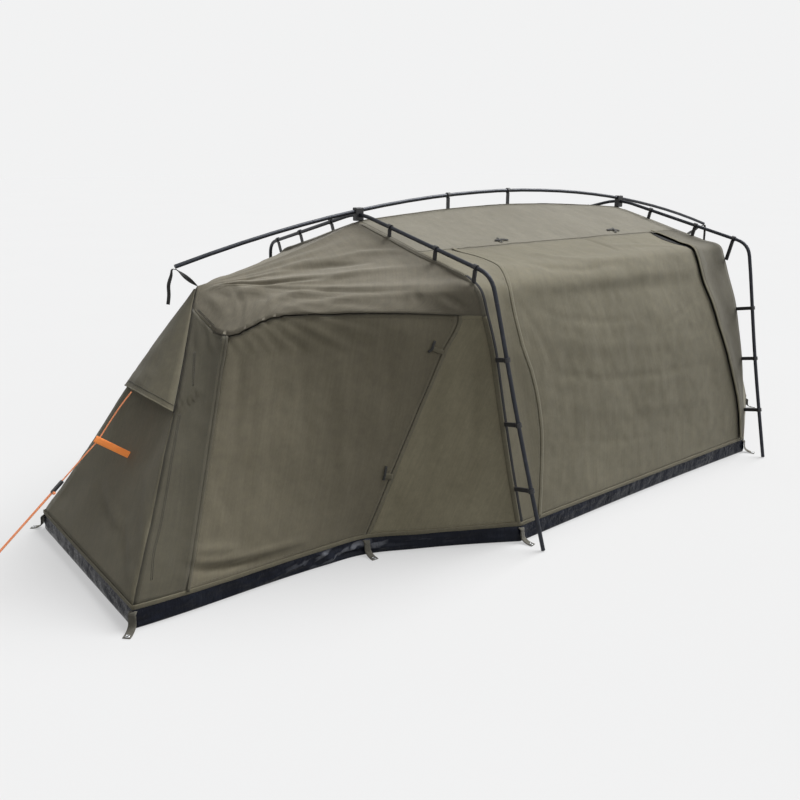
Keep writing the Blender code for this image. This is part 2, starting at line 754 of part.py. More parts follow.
def tub_draws():
    """How far the tub's foot is drawn in at each outline point between its peg loops."""
    spans = [list(FOOT_TO_WAIST_SHARES), list(WAIST_TO_HOOP_SHARES),
             [bay_share(k, BASE_ROW) for k in range(1, BAY_COLUMNS + 1)], list(HEAD_COLUMN_SHARES[1:])]
    near = [TUB_DRAW * math.sin(math.pi * share) for span in spans for share in span]
    return near + near[::-1]


def offset_ring(ring, amount, z, draws=None):
    """The outline moved outwards by an amount and laid at a height."""
    out = []
    count = len(ring)
    for i, p in enumerate(ring):
        ahead = ring[(i + 1) % count] - p
        behind = p - ring[i - 1]
        a = Vector((ahead.y, -ahead.x, 0)).normalized()
        b = Vector((behind.y, -behind.x, 0)).normalized()
        total = (a + b) / max(1 + a.dot(b), 0.5)
        reach = amount - (draws[i] if draws else 0)
        out.append(Vector((p.x, p.y, 0)) + total * reach + Vector((0, 0, z)))
    return out


def strap_rings(line, across, width, thick):
    """Rectangular rings of webbing along a line, with its width along one direction."""
    rings = []
    across = Vector(across).normalized()
    for i, p in enumerate(line):
        ahead = (line[min(i + 1, len(line) - 1)] - line[max(i - 1, 0)]).normalized()
        up = ahead.cross(across).normalized()
        w = across * width / 2
        t = up * thick / 2
        rings.append([p - w - t, p + w - t, p + w + t, p - w + t])
    return rings


def peg_loop(start, outward, bm):
    """A webbing loop that leaves the tub wall and lies on the ground."""
    out = Vector(outward).normalized()
    across = Vector((-out.y, out.x, 0))
    rise = TUB_HEIGHT / 2
    ground = WEB_T / 2 + FIT
    line = [start + out * reach + Vector((0, 0, z)) for reach, z in (
        (-TUB_FLARE, rise), (TUB_FLARE, rise * 0.8), (LOOP_REACH / 2, ground + WEB_T),
        (LOOP_REACH, ground))]
    loft(bm, strap_rings(line, across, WEB_W, WEB_T))


def peg_places():
    """Near side peg points: foot corner, waist, both hoops and head corner."""
    foot = vestibule_column(0)[BASE_ROW]
    waist = vestibule_column(DOOR_HINGE_COLUMN)[BASE_ROW]
    mid = hoop_column("mid")[BASE_ROW]
    end = hoop_column("end")[BASE_ROW]
    head = head_column(len(HEAD_COLUMN_SHARES) - 1)[BASE_ROW]
    return ((foot, (-1, -1, 0)), (waist, (0, -1, 0)), (mid, (0.2, -1, 0)),
            (end, (0.4, -1, 0)), (head, (1, -0.6, 0)))


def make_tub():
    ring = floor_outline()
    draws = tub_draws()
    top = TUB_HEIGHT - SEAM_GAP
    bm = bmesh.new()
    rings = [offset_ring(ring, -CANVAS_T, top), offset_ring(ring, 0, top),
             offset_ring(ring, TUB_FLARE, 0, draws)]
    floor_ring = offset_ring(ring, TUB_FLARE - CANVAS_T, CANVAS_T, draws)
    rows = [[bm.verts.new(p) for p in r] for r in [floor_ring] + rings]
    count = len(ring)
    for low, high in zip(rows, rows[1:]):
        for i in range(count):
            j = (i + 1) % count
            bm.faces.new((low[i], low[j], high[j], high[i]))
    bm.faces.new(rows[0][::-1])
    bm.faces.new(rows[-1])
    bmesh.ops.recalc_face_normals(bm, faces=bm.faces[:])
    tub = add_object("floor_tub", bm, "vinyl")
    loops = bmesh.new()
    for place, outward in peg_places():
        for start, side in ((pitched(place), 1), (pitched(mirrored([place])[0]), -1)):
            level = Vector((start.x, start.y, 0))
            peg_loop(level, (outward[0], side * outward[1], 0), loops)
    guide = add_object("peg_loop_shapes", loops, "web")
    guide.hide_render = True
    guide.display_type = "WIRE"
    joiner = tub.modifiers.new("peg_loops", "BOOLEAN")
    joiner.operation = "UNION"
    joiner.object = guide


# Mattress

def mattress_half(x_share):
    """Rounded ends in plan."""
    length = MATTRESS_LENGTH
    from_end = min(x_share, 1 - x_share) * length
    if from_end >= MATTRESS_CORNER_R:
        return MATTRESS_HALF
    inset = MATTRESS_CORNER_R - from_end
    return MATTRESS_HALF - MATTRESS_CORNER_R + math.sqrt(max(MATTRESS_CORNER_R ** 2 - inset ** 2, 0))


def make_mattress():
    """A crowned pad whose sides are drawn in, lying on the floor."""
    head = HEAD_X - HEAD_PEAK_BACK - MATTRESS_HEAD_CLEAR
    start = head - MATTRESS_LENGTH
    corner = MATTRESS_CORNER_R / MATTRESS_LENGTH
    stations = [share * corner for share in MATTRESS_END_SHARES]
    stations += [k / MATTRESS_STATIONS for k in range(1, MATTRESS_STATIONS)]
    stations += [1 - share * corner for share in MATTRESS_END_SHARES[::-1]]
    low = CANVAS_T + SEAM_GAP
    bm = bmesh.new()
    rings = []
    for share in stations:
        half = mattress_half(share)
        swell = math.sin(math.pi * share) ** 0.5
        top = low + MATTRESS_T + MATTRESS_CROWN * swell
        side = MATTRESS_EDGE_R
        x = start + share * MATTRESS_LENGTH
        ring = [(-half + side, low), (half - side, low), (half, low + side)]
        ring += [(half, low + MATTRESS_T - side), (half - side, low + MATTRESS_T)]
        for k in MATTRESS_CROWN_SHARES:
            ring.append((half * k, mix(low + MATTRESS_T, top, 1 - k * k)))
        ring += [(-half + side, low + MATTRESS_T), (-half, low + MATTRESS_T - side)]
        ring += [(-half, low + side)]
        rings.append([Vector((x, y, z)) for y, z in ring])
    loft(bm, rings)
    add_object("mattress", bm, "foam", smooth=True)


# Clips

def clip_outline(stem_length):
    """Hook round a pole with a stem along +Y of the outline; the mouth faces sideways."""
    steps = CLIP_STEPS
    inner = (POLE_R + FIT) / math.cos(math.pi / steps)
    outer = inner + CLIP_WALL
    half = CLIP_STEM / 2
    start = math.asin(half / outer)
    points = [(-half, stem_length), (-half, outer * math.cos(start))]
    first = math.pi / 2 + start
    last = 2.5 * math.pi - start - CLIP_MOUTH
    for k in range(1, steps + 1):
        turn = mix(first, last, k / steps)
        points.append((outer * math.cos(turn), outer * math.sin(turn)))
    for k in range(steps + 1):
        turn = mix(last, first - 0.3, k / steps)
        points.append((inner * math.cos(turn), inner * math.sin(turn)))
    points.append((half * 0.2, inner))
    points.append((half, outer * math.cos(start)))
    points.append((half, stem_length))
    return points


def extrude_outline(bm, outline, origin, x_axis, y_axis, width):
    depth = x_axis.cross(y_axis).normalized()
    rings = []
    for shift in (-width / 2, width / 2):
        rings.append([origin + x_axis * a + y_axis * b + depth * shift for a, b in outline])
    loft(bm, rings)


def clip(name, centre, along, target):
    """A hook on the pole at the centre, with its stem reaching to the target point."""
    stem = (target - centre)
    y_axis = stem.normalized()
    along = (along - y_axis * along.dot(y_axis)).normalized()
    x_axis = y_axis.cross(along)
    bm = bmesh.new()
    extrude_outline(bm, clip_outline(stem.length - CLIP_SEAT), centre, x_axis, y_axis, CLIP_WIDTH)
    return add_object(name, bm, "clip")


def line_length(line):
    return sum((b - a).length for a, b in zip(line, line[1:]))


def point_at(line, share):
    """Point and direction at a share of a line's length."""
    left = share * line_length(line)
    for a, b in zip(line, line[1:]):
        step = (b - a).length
        if left <= step:
            return a + (b - a) * (left / step), (b - a).normalized()
        left -= step
    return line[-1], (line[-1] - line[-2]).normalized()


def reach_to_canvas(column, centre, down):
    """Distance from a pole to the canvas edge in the hoop's plane."""
    best = None
    for a, b in zip(column, column[1:]):
        edge = b - a
        det = edge.y * down.z - edge.z * down.y
        if det == 0:
            continue
        gap = a - centre
        reach = (edge.y * gap.z - edge.z * gap.y) / det
        share = (down.y * gap.z - down.z * gap.y) / det
        if reach > 0 and 0 <= share <= 1 and (best is None or reach < best):
            best = reach
    return best


def canvas_target(column, centre, along, down):
    """The point of the canvas edge that a clip's stem reaches without cutting in."""
    half = along * CLIP_WIDTH / 2
    reaches = [reach_to_canvas(column, centre + shift, down) for shift in (-half, half * 0, half)]
    return centre + down * min(r for r in reaches if r)


def make_hoop_clips(hoop):
    column = hoop_column(hoop)
    foot, corner, peak = hoop_corners(hoop)
    leg = leg_line(hoop)
    crown = [p for p in crown_line(hoop) if p.y <= 0][::-1]
    plane = hoop_point(hoop, 0, 1) - hoop_point(hoop, 0, 0)
    normal = Vector((0, 1, 0)).cross(plane).normalized()
    runs = (("crown", crown, CROWN_CLIP_SHARES), ("leg", leg, LEG_CLIP_SHARES))
    for run, line, shares in runs:
        for number, share in enumerate(shares, 1):
            if run == "crown":
                reach = share * abs(corner.y)
                centre, along = point_at_y(crown, -reach)
            else:
                centre, along = point_at(line, share)
            down = along.cross(normal).normalized()
            if down.dot(Vector((0, 0, 0.5)) - Vector((0, centre.y, centre.z))) < 0:
                down = -down
            target = canvas_target(column, centre, along, down)
            name = "%s_%s_clip_near_%d" % (hoop, run, number)
            clip(name, centre, along, target)
            far = name.replace("near", "far")
            clip(far, mirrored([centre])[0], mirrored([along])[0], mirrored([target])[0])


def point_at_y(line, y):
    for a, b in zip(line, line[1:]):
        if (a.y - y) * (b.y - y) <= 0:
            return a + (b - a) * ((y - a.y) / (b.y - a.y)), (b - a).normalized()
    return line[0], (line[1] - line[0]).normalized()


def make_ridge_clips():
    """Clips between the ridge pole and the canvas ridge of the main bay."""
    ridge = [bay_column(k)[0] for k in range(BAY_COLUMNS + 1)]
    for number, share in enumerate(RIDGE_CLIP_SHARES, 1):
        x = mix(ridge[0].x, ridge[-1].x, share)
        centre, along = point_at_x(ridge_run(), x)
        below, _ = point_at_x(ridge, x)
        clip("ridge_clip_%d" % number, centre, along, below)


def make_hub(hoop):
    """Moulded crossing piece with a bore for the ridge pole over a bore for the hoop."""
    crown = crown_line(hoop)
    x = hoop_point(hoop, 0, hoop_top(hoop)).x
    top = ridge_z(x) + POLE_R + HUB_WALL
    low = hoop_column(hoop)[0].z + 2 * CLIP_SEAT
    half_z = (top - low) / 2
    side = POLE_R + HUB_WALL
    bm = bmesh.new()
    bmesh.ops.create_cube(bm, size=1)
    bmesh.ops.scale(bm, vec=(HUB_LENGTH, 2 * side, 2 * half_z), verts=bm.verts[:])
    bmesh.ops.translate(bm, vec=(x, 0, low + half_z), verts=bm.verts[:])
    bmesh.ops.bevel(bm, geom=bm.edges[:], offset=HUB_WALL / 2, segments=1, affect="EDGES")
    hub = add_object(hoop + "_hoop_hub", bm, "clip")
    middle = [p for p in crown if abs(p.y) < HOOP_CORNER_HALF / 3]
    reach = (RIDGE_REAR_X - RIDGE_FRONT_X) / RIDGE_STEPS
    passing = [p for p in ridge_run() if abs(p.x - x) < reach]
    cuts = (("hoop", middle), ("ridge", passing))
    for run, line in cuts:
        cutter = bmesh.new()
        loft(cutter, tube_rings(line, [POLE_R + FIT] * len(line)))
        guide = add_object("%s_hub_%s_bore" % (hoop, run), cutter, "clip")
        guide.hide_render = True
        guide.display_type = "WIRE"
        bore = hub.modifiers.new(run + "_bore", "BOOLEAN")
        bore.operation = "DIFFERENCE"
        bore.object = guide


# Straps at the ridge pole's tips

def tip_strap(name, section, peak):
    """Webbing from the canvas peak, under the pole's tip, to a loose hanging tail."""
    tip = section[0]
    out = (tip - section[1]).normalized()
    under = Vector((0, 1, 0)).cross(out)
    under = under if under.z < 0 else -under
    seat = tip + under * (POLE_R + STRAP_T / 2 + FIT)
    start = peak + (seat - peak).normalized() * STRAP_T
    drop = Vector((0, 0, -STRAP_TAIL))
    line = [start, mix(start, seat, 0.5), seat]
    line += [seat + out * STRAP_W * past + drop * fall for past, fall in STRAP_TAIL_SHARES]
    bm = bmesh.new()
    loft(bm, strap_rings(line, (0, 1, 0), STRAP_W, STRAP_T))
    add_object(name, bm, "web")


def make_straps():
    tip_strap("ridge_strap_front", ridge_line(RIDGE_FRONT_X), end_column("foot")[0])
    tip_strap("ridge_strap_rear", ridge_line(RIDGE_REAR_X), end_column("head")[0])


# Guy line at the foot end

def guy_points():
    return smooth_curve([Vector(place) for place in GUY_ROUTE], GUY_STEPS)


def make_rope():
    points = guy_points()
    curve = bpy.data.curves.new("guy_rope", "CURVE")
    curve.dimensions = "3D"
    curve.resolution_u = 1
    curve.render_resolution_u = 0
    curve.bevel_depth = ROPE_R
    curve.bevel_resolution = 2
    curve.use_fill_caps = True
    spline = curve.splines.new("POLY")
    spline.points.add(len(points) - 1)
    for point, place in zip(spline.points, points):
        point.co = (place.x, place.y, place.z, 1)
    obj = bpy.data.objects.new("guy_rope", curve)
    bpy.context.scene.collection.objects.link(obj)
    curve.materials.append(material("orange"))


def make_tab():
    """Folded webbing that stands off the foot end and holds the guy line in its eye."""
    root = Vector(TAB_ROOT)
    along = (Vector(TAB_EYE) - root).normalized()
    across = along.cross(Vector((0, 1, 0))).normalized()
    aside = across.cross(along).normalized()
    start = root + along * TAB_LIFT
    half = [start + along * reach + aside * gap for reach, gap in TAB_PROFILE]
    back = [start + along * reach - aside * gap for reach, gap in TAB_PROFILE[-2::-1]]
    bm = bmesh.new()
    loft(bm, strap_rings(half + back, across, TAB_W, TAB_T))
    add_object("guy_tab", bm, "orange")


def guy_direction():
    """The line's direction where it runs down through the slider."""
    before, after = GUY_ROUTE[SLIDER_POINT - 1], GUY_ROUTE[SLIDER_POINT + 1]
    return (Vector(after) - Vector(before)).normalized()


def make_tensioner():
    """Slider with one bore right through and one blind bore for the line's returning end."""
    centre = Vector(TENSIONER_PLACE)
    along = guy_direction()
    aside = Vector((0, 1, 0))
    depth = 2 * (ROPE_R + FIT + TENSIONER_WALL)
    width = TENSIONER_SPACING + depth
    corner = TENSIONER_WALL / 2
    rings = []
    tip, flat = TENSIONER_END_SHARES
    for share, inset in ((-tip, corner), (-flat, 0), (flat, 0), (tip, corner)):
        place = centre + along * share * TENSIONER_LENGTH
        a = aside * (width / 2 - inset)
        b = along.cross(aside) * (depth / 2 - inset)
        cut = 1 - corner / (depth / 2)
        rings.append([place + a * p + b * q for p, q in (
            (1, cut), (cut, 1), (-cut, 1), (-1, cut), (-1, -cut), (-cut, -1), (cut, -1), (1, -cut))])
    bm = bmesh.new()
    loft(bm, rings)
    body = add_object("guy_tensioner", bm, "clip")
    bore = (ROPE_R + FIT) / math.cos(math.pi / TUBE_SIDES)
    end = along * TENSIONER_LENGTH
    runs = (("through", aside, -end, end), ("return", -aside, end / 2 - along * STOP_DEPTH, end))
    for name, side, start, stop in runs:
        middle = centre + side * TENSIONER_SPACING / 2
        cutter = bmesh.new()
        loft(cutter, tube_rings([middle + start, middle + stop], [bore] * 2))
        guide = add_object("tensioner_%s_bore" % name, cutter, "clip")
        guide.hide_render = True
        guide.display_type = "WIRE"
        cut = body.modifiers.new(name + "_bore", "BOOLEAN")
        cut.operation = "DIFFERENCE"
        cut.object = guide


def make_knot():
    """Stopper knot of the line's end, against the slider's near side."""
    centre = Vector(TENSIONER_PLACE)
    along = guy_direction()
    face = TENSIONER_SPACING / 2 + ROPE_R + FIT + TENSIONER_WALL
    centre += along * (TENSIONER_LENGTH / 2 - KNOT_R) - Vector((0, face + FIT + KNOT_R, 0))
    bm = bmesh.new()
    bmesh.ops.create_icosphere(bm, subdivisions=2, radius=KNOT_R)
    bmesh.ops.translate(bm, vec=centre, verts=bm.verts[:])
    add_object("guy_knot", bm, "orange", smooth=True)


def main():
    clear_scene()
    make_ridge_pole()
    for hoop in ("mid", "end"):
        make_hoop(hoop)
        make_hoop_clips(hoop)
        make_hub(hoop)
    make_ridge_clips()
    make_canvas()
    make_hood()
    make_tub()
    make_mattress()
    make_straps()
    make_rope()
    make_tab()
    make_tensioner()
    make_knot()


main()
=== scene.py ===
"""Swag bedroll, dressed: a canvas swag tent pitched on two hoops and a ridge pole."""
import bpy
import bmesh
import math
import numpy as np
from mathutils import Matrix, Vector, noise
from mathutils.bvhtree import BVHTree
from mathutils.kdtree import KDTree


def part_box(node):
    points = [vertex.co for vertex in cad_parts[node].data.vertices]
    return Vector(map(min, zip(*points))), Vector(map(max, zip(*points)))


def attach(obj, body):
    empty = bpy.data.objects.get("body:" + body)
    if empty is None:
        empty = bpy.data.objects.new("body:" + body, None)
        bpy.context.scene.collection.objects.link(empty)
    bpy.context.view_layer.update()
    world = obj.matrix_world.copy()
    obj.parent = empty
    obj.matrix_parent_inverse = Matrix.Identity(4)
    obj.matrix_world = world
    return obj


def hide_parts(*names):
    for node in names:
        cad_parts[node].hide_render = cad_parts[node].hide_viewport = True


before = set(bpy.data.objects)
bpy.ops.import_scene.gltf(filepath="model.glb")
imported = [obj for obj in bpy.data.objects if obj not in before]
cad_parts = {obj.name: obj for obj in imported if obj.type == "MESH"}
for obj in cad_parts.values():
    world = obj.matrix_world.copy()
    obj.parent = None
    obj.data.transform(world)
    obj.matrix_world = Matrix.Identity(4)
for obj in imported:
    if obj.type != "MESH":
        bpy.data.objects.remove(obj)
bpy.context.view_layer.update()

# Places along the floor, and the half widths there
FOOT_X, FOOT_HALF = -1.390, 0.348
WAIST_X, WAIST_HALF = -0.743, 0.439
MID_HOOP_X, END_HOOP_X = -0.342, 0.865
BODY_HALF = 0.652
HEAD_X, HEAD_HALF = 1.410, 0.360

# Heights
TUB_HEIGHT = 0.055
RIDGE_TOP = 0.953
CANVAS_TOP = RIDGE_TOP - 0.079
FOOT_PEAK_Z, FOOT_PEAK_BACK = CANVAS_TOP - 0.153, 0.402
HEAD_PEAK_Z, HEAD_PEAK_BACK = CANVAS_TOP - 0.139, 0.025
FOOT_SKEW = -0.055
RIDGE_BOW = 0.030
RIDGE_SAG = 0.012

# Cloth
CANVAS_T = 0.003
SHEET_T = 0.0012
RIPPLE = 0.0015
FOLD_DEPTH = 0.010
WALL_SAG = 0.010
END_SAG = 0.012

# Poles: a hoop's foot and its lean, as metres along per metre up
POLE_R = 0.006
FIT = 0.0003
RIDGE_MID_X, RIDGE_FRONT_X, RIDGE_REAR_X = 0.237, -1.048, 1.522
RIDGE_TIP_DROP = 0.174
MID_HOOP_LEAN, END_HOOP_LEAN = -0.105, 0.011
HOOPS = {"mid": (MID_HOOP_X, MID_HOOP_LEAN), "end": (END_HOOP_X, END_HOOP_LEAN)}

# Rows of the canvas at a hoop, ridge to floor: share of the half width, share of the height
HOOP_ROW_SHARES = (
    (0, 1), (0.216, 0.956), (0.432, 0.910), (0.617, 0.873), (0.741, 0.846), (0.807, 0.814),
    (0.846, 0.727), (0.883, 0.617), (0.904, 0.495), (0.924, 0.372), (0.946, 0.250),
    (0.971, 0.128), (1, 0),
)
# The end hoop's own shares of the half width, row by row
END_HOOP_WIDTH_SHARES = (0, 0.216, 0.432, 0.610, 0.728, 0.746, 0.790, 0.848, 0.890, 0.928, 0.955, 0.980, 1)
# The same rows along the edges of the foot end and of the head end
FOOT_ROW_SHARES = (
    (0, 1), (0.013, 0.987), (0.027, 0.973), (0.040, 0.960), (0.053, 0.947), (0.067, 0.933),
    (0.085, 0.919), (0.250, 0.780), (0.390, 0.645), (0.461, 0.568), (0.640, 0.370),
    (0.800, 0.200), (1, 0),
)
HEAD_ROW_SHARES = (
    (0, 1), (0.10, 0.93), (0.20, 0.86), (0.30, 0.79), (0.39, 0.73), (0.47, 0.68), (0.54, 0.63),
    (0.64, 0.53), (0.73, 0.42), (0.81, 0.31), (0.88, 0.20), (0.94, 0.10), (1, 0),
)
# Each triangular end: base, half width, peak's height, how far back the peak lies, row shares
ENDS = {
    "foot": (FOOT_X, FOOT_HALF, FOOT_PEAK_Z, FOOT_PEAK_BACK, FOOT_ROW_SHARES),
    "head": (HEAD_X, HEAD_HALF, HEAD_PEAK_Z, -HEAD_PEAK_BACK, HEAD_ROW_SHARES),
}
SEAM_ROW, SHOULDER_ROW, DOOR_TOP_ROW, BASE_ROW = 2, 5, 6, 12

# Vestibule columns from foot end to hoop: share along the ridge, share along the shoulder, and
# the door's top edge as shares of the vestibule length, the body half width and the canvas height
RIDGE_COLUMN_SHARES = (0, 0.06, 0.22, 0.42, 0.62, 0.80, 0.87, 0.94, 1)
SHOULDER_COLUMN_SHARES = (0, 0.10, 0.27, 0.47, 0.68, 0.86, 0.91, 0.96, 1)
DOOR_TOP_SHARES = {
    1: (0.386, 0.230, 0.692), 2: (0.491, 0.322, 0.741), 3: (0.611, 0.460, 0.751),
    4: (0.735, 0.606, 0.753), 5: (0.885, 0.759, 0.744), 6: (0.901, 0.785, 0.744),
    7: (0.918, 0.813, 0.744),
}
FOOT_TO_WAIST_SHARES = (0, 0.198, 0.400, 0.600, 0.800, 1)
WAIST_TO_HOOP_SHARES = (0.310, 0.650, 1)
DOOR_LEFT_COLUMN, DOOR_HINGE_COLUMN, HOOP_COLUMN = 1, 5, 8

# Main bay columns: where the flaps' free edges run, row by row, as shares of the bay
BAY_COLUMNS = 10
FRONT_FLAP_SHARES = (0.10, 0.10, 0.10, 0.13, 0.11, 0.09, 0.082, 0.086, 0.105, 0.113, 0.106, 0.086, 0.060)
REAR_FLAP_SHARES = (0.87, 0.87, 0.87, 0.87, 0.862, 0.86, 0.862, 0.88, 0.905, 0.93, 0.952, 0.968, 0.975)
HEAD_COLUMN_SHARES = (0, 0.33, 0.67, 1)
END_FACE_COLUMNS = 6

# The fine skin: steps from each row to the next, and the size that its cells are near
ROW_STEPS = (15, 14, 12, 9, 6, 9, 10, 11, 11, 11, 11, 11)
CELL = 0.0095

# Each panel: body, look, and the width, length and area it is cut to, in metres, measured along
# the pitched surface
FRONT_FLAP, SIDE_DOOR, REAR_FLAP = (0.19, 0.96, 0.118), (1.13, 0.96, 0.943), (0.17, 0.93, 0.110)
# Every look here but canvas is a lit or shaded copy of the canvas: painted shade, painted light, and a
# painted sheen on the roofs
PANELS = {
    "vestibule_roof": ("swag", "painted_sheen_roof", 0.86, 0.63, 0.480),
    "main_roof": ("swag", "roof_canvas", 0.60, 1.30, 0.775),
    "vestibule_storm_flap": ("swag", "shade", 0.16, 0.77, 0.078),
    "vestibule_door": ("vestibule_flap", "door", 0.78, 0.67, 0.351),
    "vestibule_side_near": ("swag", "light", 0.41, 0.66, 0.158),
    "vestibule_wall_far": ("swag", "light", 1.11, 0.78, 0.593),
    "front_flap_near": ("swag", "canvas", *FRONT_FLAP),
    "front_flap_far": ("swag", "canvas", *FRONT_FLAP),
    "main_door_near": ("near_door", "canvas", *SIDE_DOOR),
    "main_door_far": ("far_door", "canvas", *SIDE_DOOR),
    "rear_flap_near": ("swag", "dim", *REAR_FLAP),
    "rear_flap_far": ("swag", "dim", *REAR_FLAP),
    "head_shell": ("swag", "canvas", 1.30, 1.21, 1.190),
    "foot_end_panel": ("swag", "canvas", 0.67, 0.85, 0.280),
    "head_end_panel": ("swag", "canvas", 0.71, 0.78, 0.294),
}
HOOD_FLAT = (0.34, 0.36, 0.059)
MESH_FLAT = (0.33, 0.34, 0.055)

# Flaps' free edges: how high each stands off and how far back that reaches; the doors' hinge edges
FLAP_LIFTS = {"front_flap": (0.004, 0.030), "rear_flap": (0.009, 0.035),
              "vestibule_storm_flap": (0.0055, 0.025), "vestibule_roof": (0.0065, 0.028)}
LIFT_FADE = 0.04
HINGE_DRAW = 0.0018

# Heights of the soft wrinkles and of the gathers round the foot end's peak, the level above which the
# canvas gathers, and the limits of all that it is lifted by
WRINKLE = 0.0028
GATHER = 0.0016
GATHER_FROM = 0.57
LIFT_LEAST, LIFT_MOST = -0.014, 0.013

# Hems, tapes and stitching
TRIM_STEP = 0.010
HEM_SNAP = 0.0015
HEM_EDGE = 0.02
ZIP_START = 20
SEAM_HALF = 0.0022
STITCH_INSET = 0.011
STITCH_HALF = 0.0007
WEAVE = 190
# Each band in section: how far it reaches behind and ahead, how high it lies there, and its thickness
HOOP_SEAM = ((0, 0.012), (0.0004, 0.0004), 0.0010)
BANDS = {
    "front_flap_edge": ((0.004, 0.009), (0.0040, 0.0042), 0.0018),
    "front_zip_and_shadow": ((0, 0.010), (0.0004, 0.0004), 0.0012),
    "rear_flap_edge": ((0.004, 0.008), (0.0085, 0.0080), 0.0018),
    "crescent_painted_shadow": ((-0.0015, 0.020), (0.0006, 0.0006), 0.0010),
    "eave_tape": ((-0.0032, 0.010), (0.0003, 0.0002), 0.0008),
    "hoop_seam_roof": HOOP_SEAM,
    "hoop_seam_head": HOOP_SEAM,
    "head_edge": ((0, 0.010), (0.0004, 0.0004), 0.0010),
    "ridge_piping": ((0.003, 0.003), (0.0003, 0.0003), 0.0016),
    "mid_hoop_hem": ((0, 0.014), (0.0010, 0.0004), 0.0012),
    "hinge_band": ((0, 0.010), (0.0004, 0.0003), 0.0008),
    "storm_flap_edge": ((0.001, 0.006), (0.0050, 0.0052), 0.0016),
    "hood_edge": ((0.004, 0.0005), (0.0001, 0.0002), 0.0009),
    "stitching": ((0.0007, 0.0007), (0.0001, 0.0001), 0.0007),
}
# Widths, along the rear flap's edge, of the dark band that paints the shadow under that lifted edge
CRESCENT_SHADOW_WIDTHS = ((0, 0.2), (0.03, 1.2), (0.09, 1.9), (0.15, 1.1), (0.22, 0.35), (0.5, 0.30), (0.95, 0.1),
                   (1, 0.0))
# Double stitching by the foot end, as points of the photograph
SEAM_LINES = (
    ("storm_flap_seam", ((180, 414), (172, 458), (167, 490), (160, 528), (154, 553), (151.5, 580))),
    ("hood_side_seam", ((194.5, 352), (194, 368), (193, 386))),
    ("peak_seam", ((198, 310), (205, 317), (214, 326), (223, 334))),
)

# Vent hood over the foot end
HOOD_RISE = 0.062
HOOD_SEAT = 0.0006
HOOD_FOLD = 0.004
HOOD_LAST_ROW = 9

# Floor tub: points across its wall as (out, height, looseness) outside and (out, height) inside
TUB_DRAW = 0.009
TUB_OUTSIDE = (
    (-0.0030, 0.0535, 0), (-0.0008, 0.0540, 0), (-0.0006, 0.0500, 0), (0.0000, 0.0460, 0.4),
    (0.0003, 0.0420, 0.8), (0.0005, 0.0380, 1), (0.0008, 0.0340, 1), (0.0010, 0.0300, 1),
    (0.0014, 0.0260, 1), (0.0018, 0.0220, 1), (0.0022, 0.0180, 1), (0.0026, 0.0140, 0.8),
    (0.0032, 0.0100, 0.6), (0.0036, 0.0060, 0.4), (0.0034, 0.0015, 0.1), (0.0015, 0, 0), (-0.0100, 0, 0),
)
TUB_INSIDE = ((-0.0045, 0.0530), (-0.0050, 0.0400), (-0.0060, 0.0200), (-0.0080, 0.0040), (-0.0200, 0.0020))
# The canvas hem that laps the tub, in section
FOOT_HEM = ((0.0008, 0.0600), (0.0016, 0.0585), (0.0021, 0.0545), (0.0024, 0.0505), (0.0022, 0.0488),
            (0.0012, 0.0488), (0.0010, 0.0560), (0.0004, 0.0590))
HEM_FLUTTER = 0.0007
# Panels whose feet make up the tub's rim, peg loop to peg loop on the near side
NEAR_RUNS = (("vestibule_storm_flap", "vestibule_door"), ("vestibule_side_near",),
             ("front_flap_near", "main_door_near", "rear_flap_near"), ("head_shell",))
FAR_RUN = ("vestibule_wall_far", "front_flap_far", "main_door_far", "rear_flap_far", "head_shell")

# Peg loops: place, half width, lean of the canvas there and the way out; then the loop from the side
WEB_T = 0.002
LOOP_REACH = 0.045
LOOP_W = 0.020
PEG_PLACES = ((FOOT_X, FOOT_HALF, 0, -1, -1), (WAIST_X, WAIST_HALF, 0, 0, -1),
              (MID_HOOP_X, BODY_HALF, MID_HOOP_LEAN, 0.2, -1),
              (END_HOOP_X, BODY_HALF, END_HOOP_LEAN, 0.4, -1), (HEAD_X, HEAD_HALF, 0, 1, -0.6))
LOOP_SIDE = ((-0.002, 0.044), (0.0065, 0.040), (0.0075, 0.027), (0.0110, 0.013), (0.022, 0.0052),
             (0.034, WEB_T / 2 + 0.0010), (LOOP_REACH, WEB_T / 2 + 0.0004))
EYELET_R = 0.0046
EYELET_BACK = 0.0075
EYELET_ROLL, EYELET_RISE = 0.0016, 0.0009

# Mattress: its form before it swells
MATTRESS_CROWN = 0.018
MATTRESS_CORNER_R = 0.070
MATTRESS_CHANNELS = 14
MATTRESS_CELLS = (100, 44)
PAD_TOP, PAD_BASE = 0.042, 0.004
PAD_INSET = 0.006
PAD_EDGE_R = 0.016
PAD_RIM_DROP, PAD_RIM_RISE, PAD_CROWN_SHARE = 0.012, 0.014, 0.9
PAD_FOOT_ROUND = 0.008
SEWN_BASE, SEWN_HALF = 0.006, 0.008
CHANNEL_DEPTH, CHANNEL_HALF = 0.004, 0.006
PIPING_R, PIPING_STEP = 0.0028, 0.004
PIPING_BELOW_TOP, PIPING_ABOVE_BASE = 0.010, 0.008

# Swelling: voxel, the most that a point may move, pressure and moments of the simulation
PUFF_VOXEL = 0.012
PUFF_CAP = 0.012
PUFF_PRESSURE = 4.0
PUFF_MOMENTS = 20

# Straps and ties
STRAP_W = 0.012
STRAP_T = 0.002
STRAP_TAIL = 0.085
# Each strap: the canvas's end, the pole's tip, a place 100 mm further in, and how far out the strap's
# tail ends, in strap widths
STRAP_ENDS = {"front": ("foot", RIDGE_FRONT_X, RIDGE_FRONT_X + 0.1, 2.6),
              "rear": ("head", RIDGE_REAR_X, RIDGE_REAR_X - 0.1, 1.9)}
# The tail turns over the tip: out in metres or in strap widths, and how far above the strap's run
TAIL_START = 0.002
TAIL_RISE = ((0.6, 0.003), (1, 0.002))
TAIL_FACING = (0.78, -0.62, 0)
TIE_T = 0.0016
TIE_LIFT = 0.0030
TIE_BOW = 0.0016
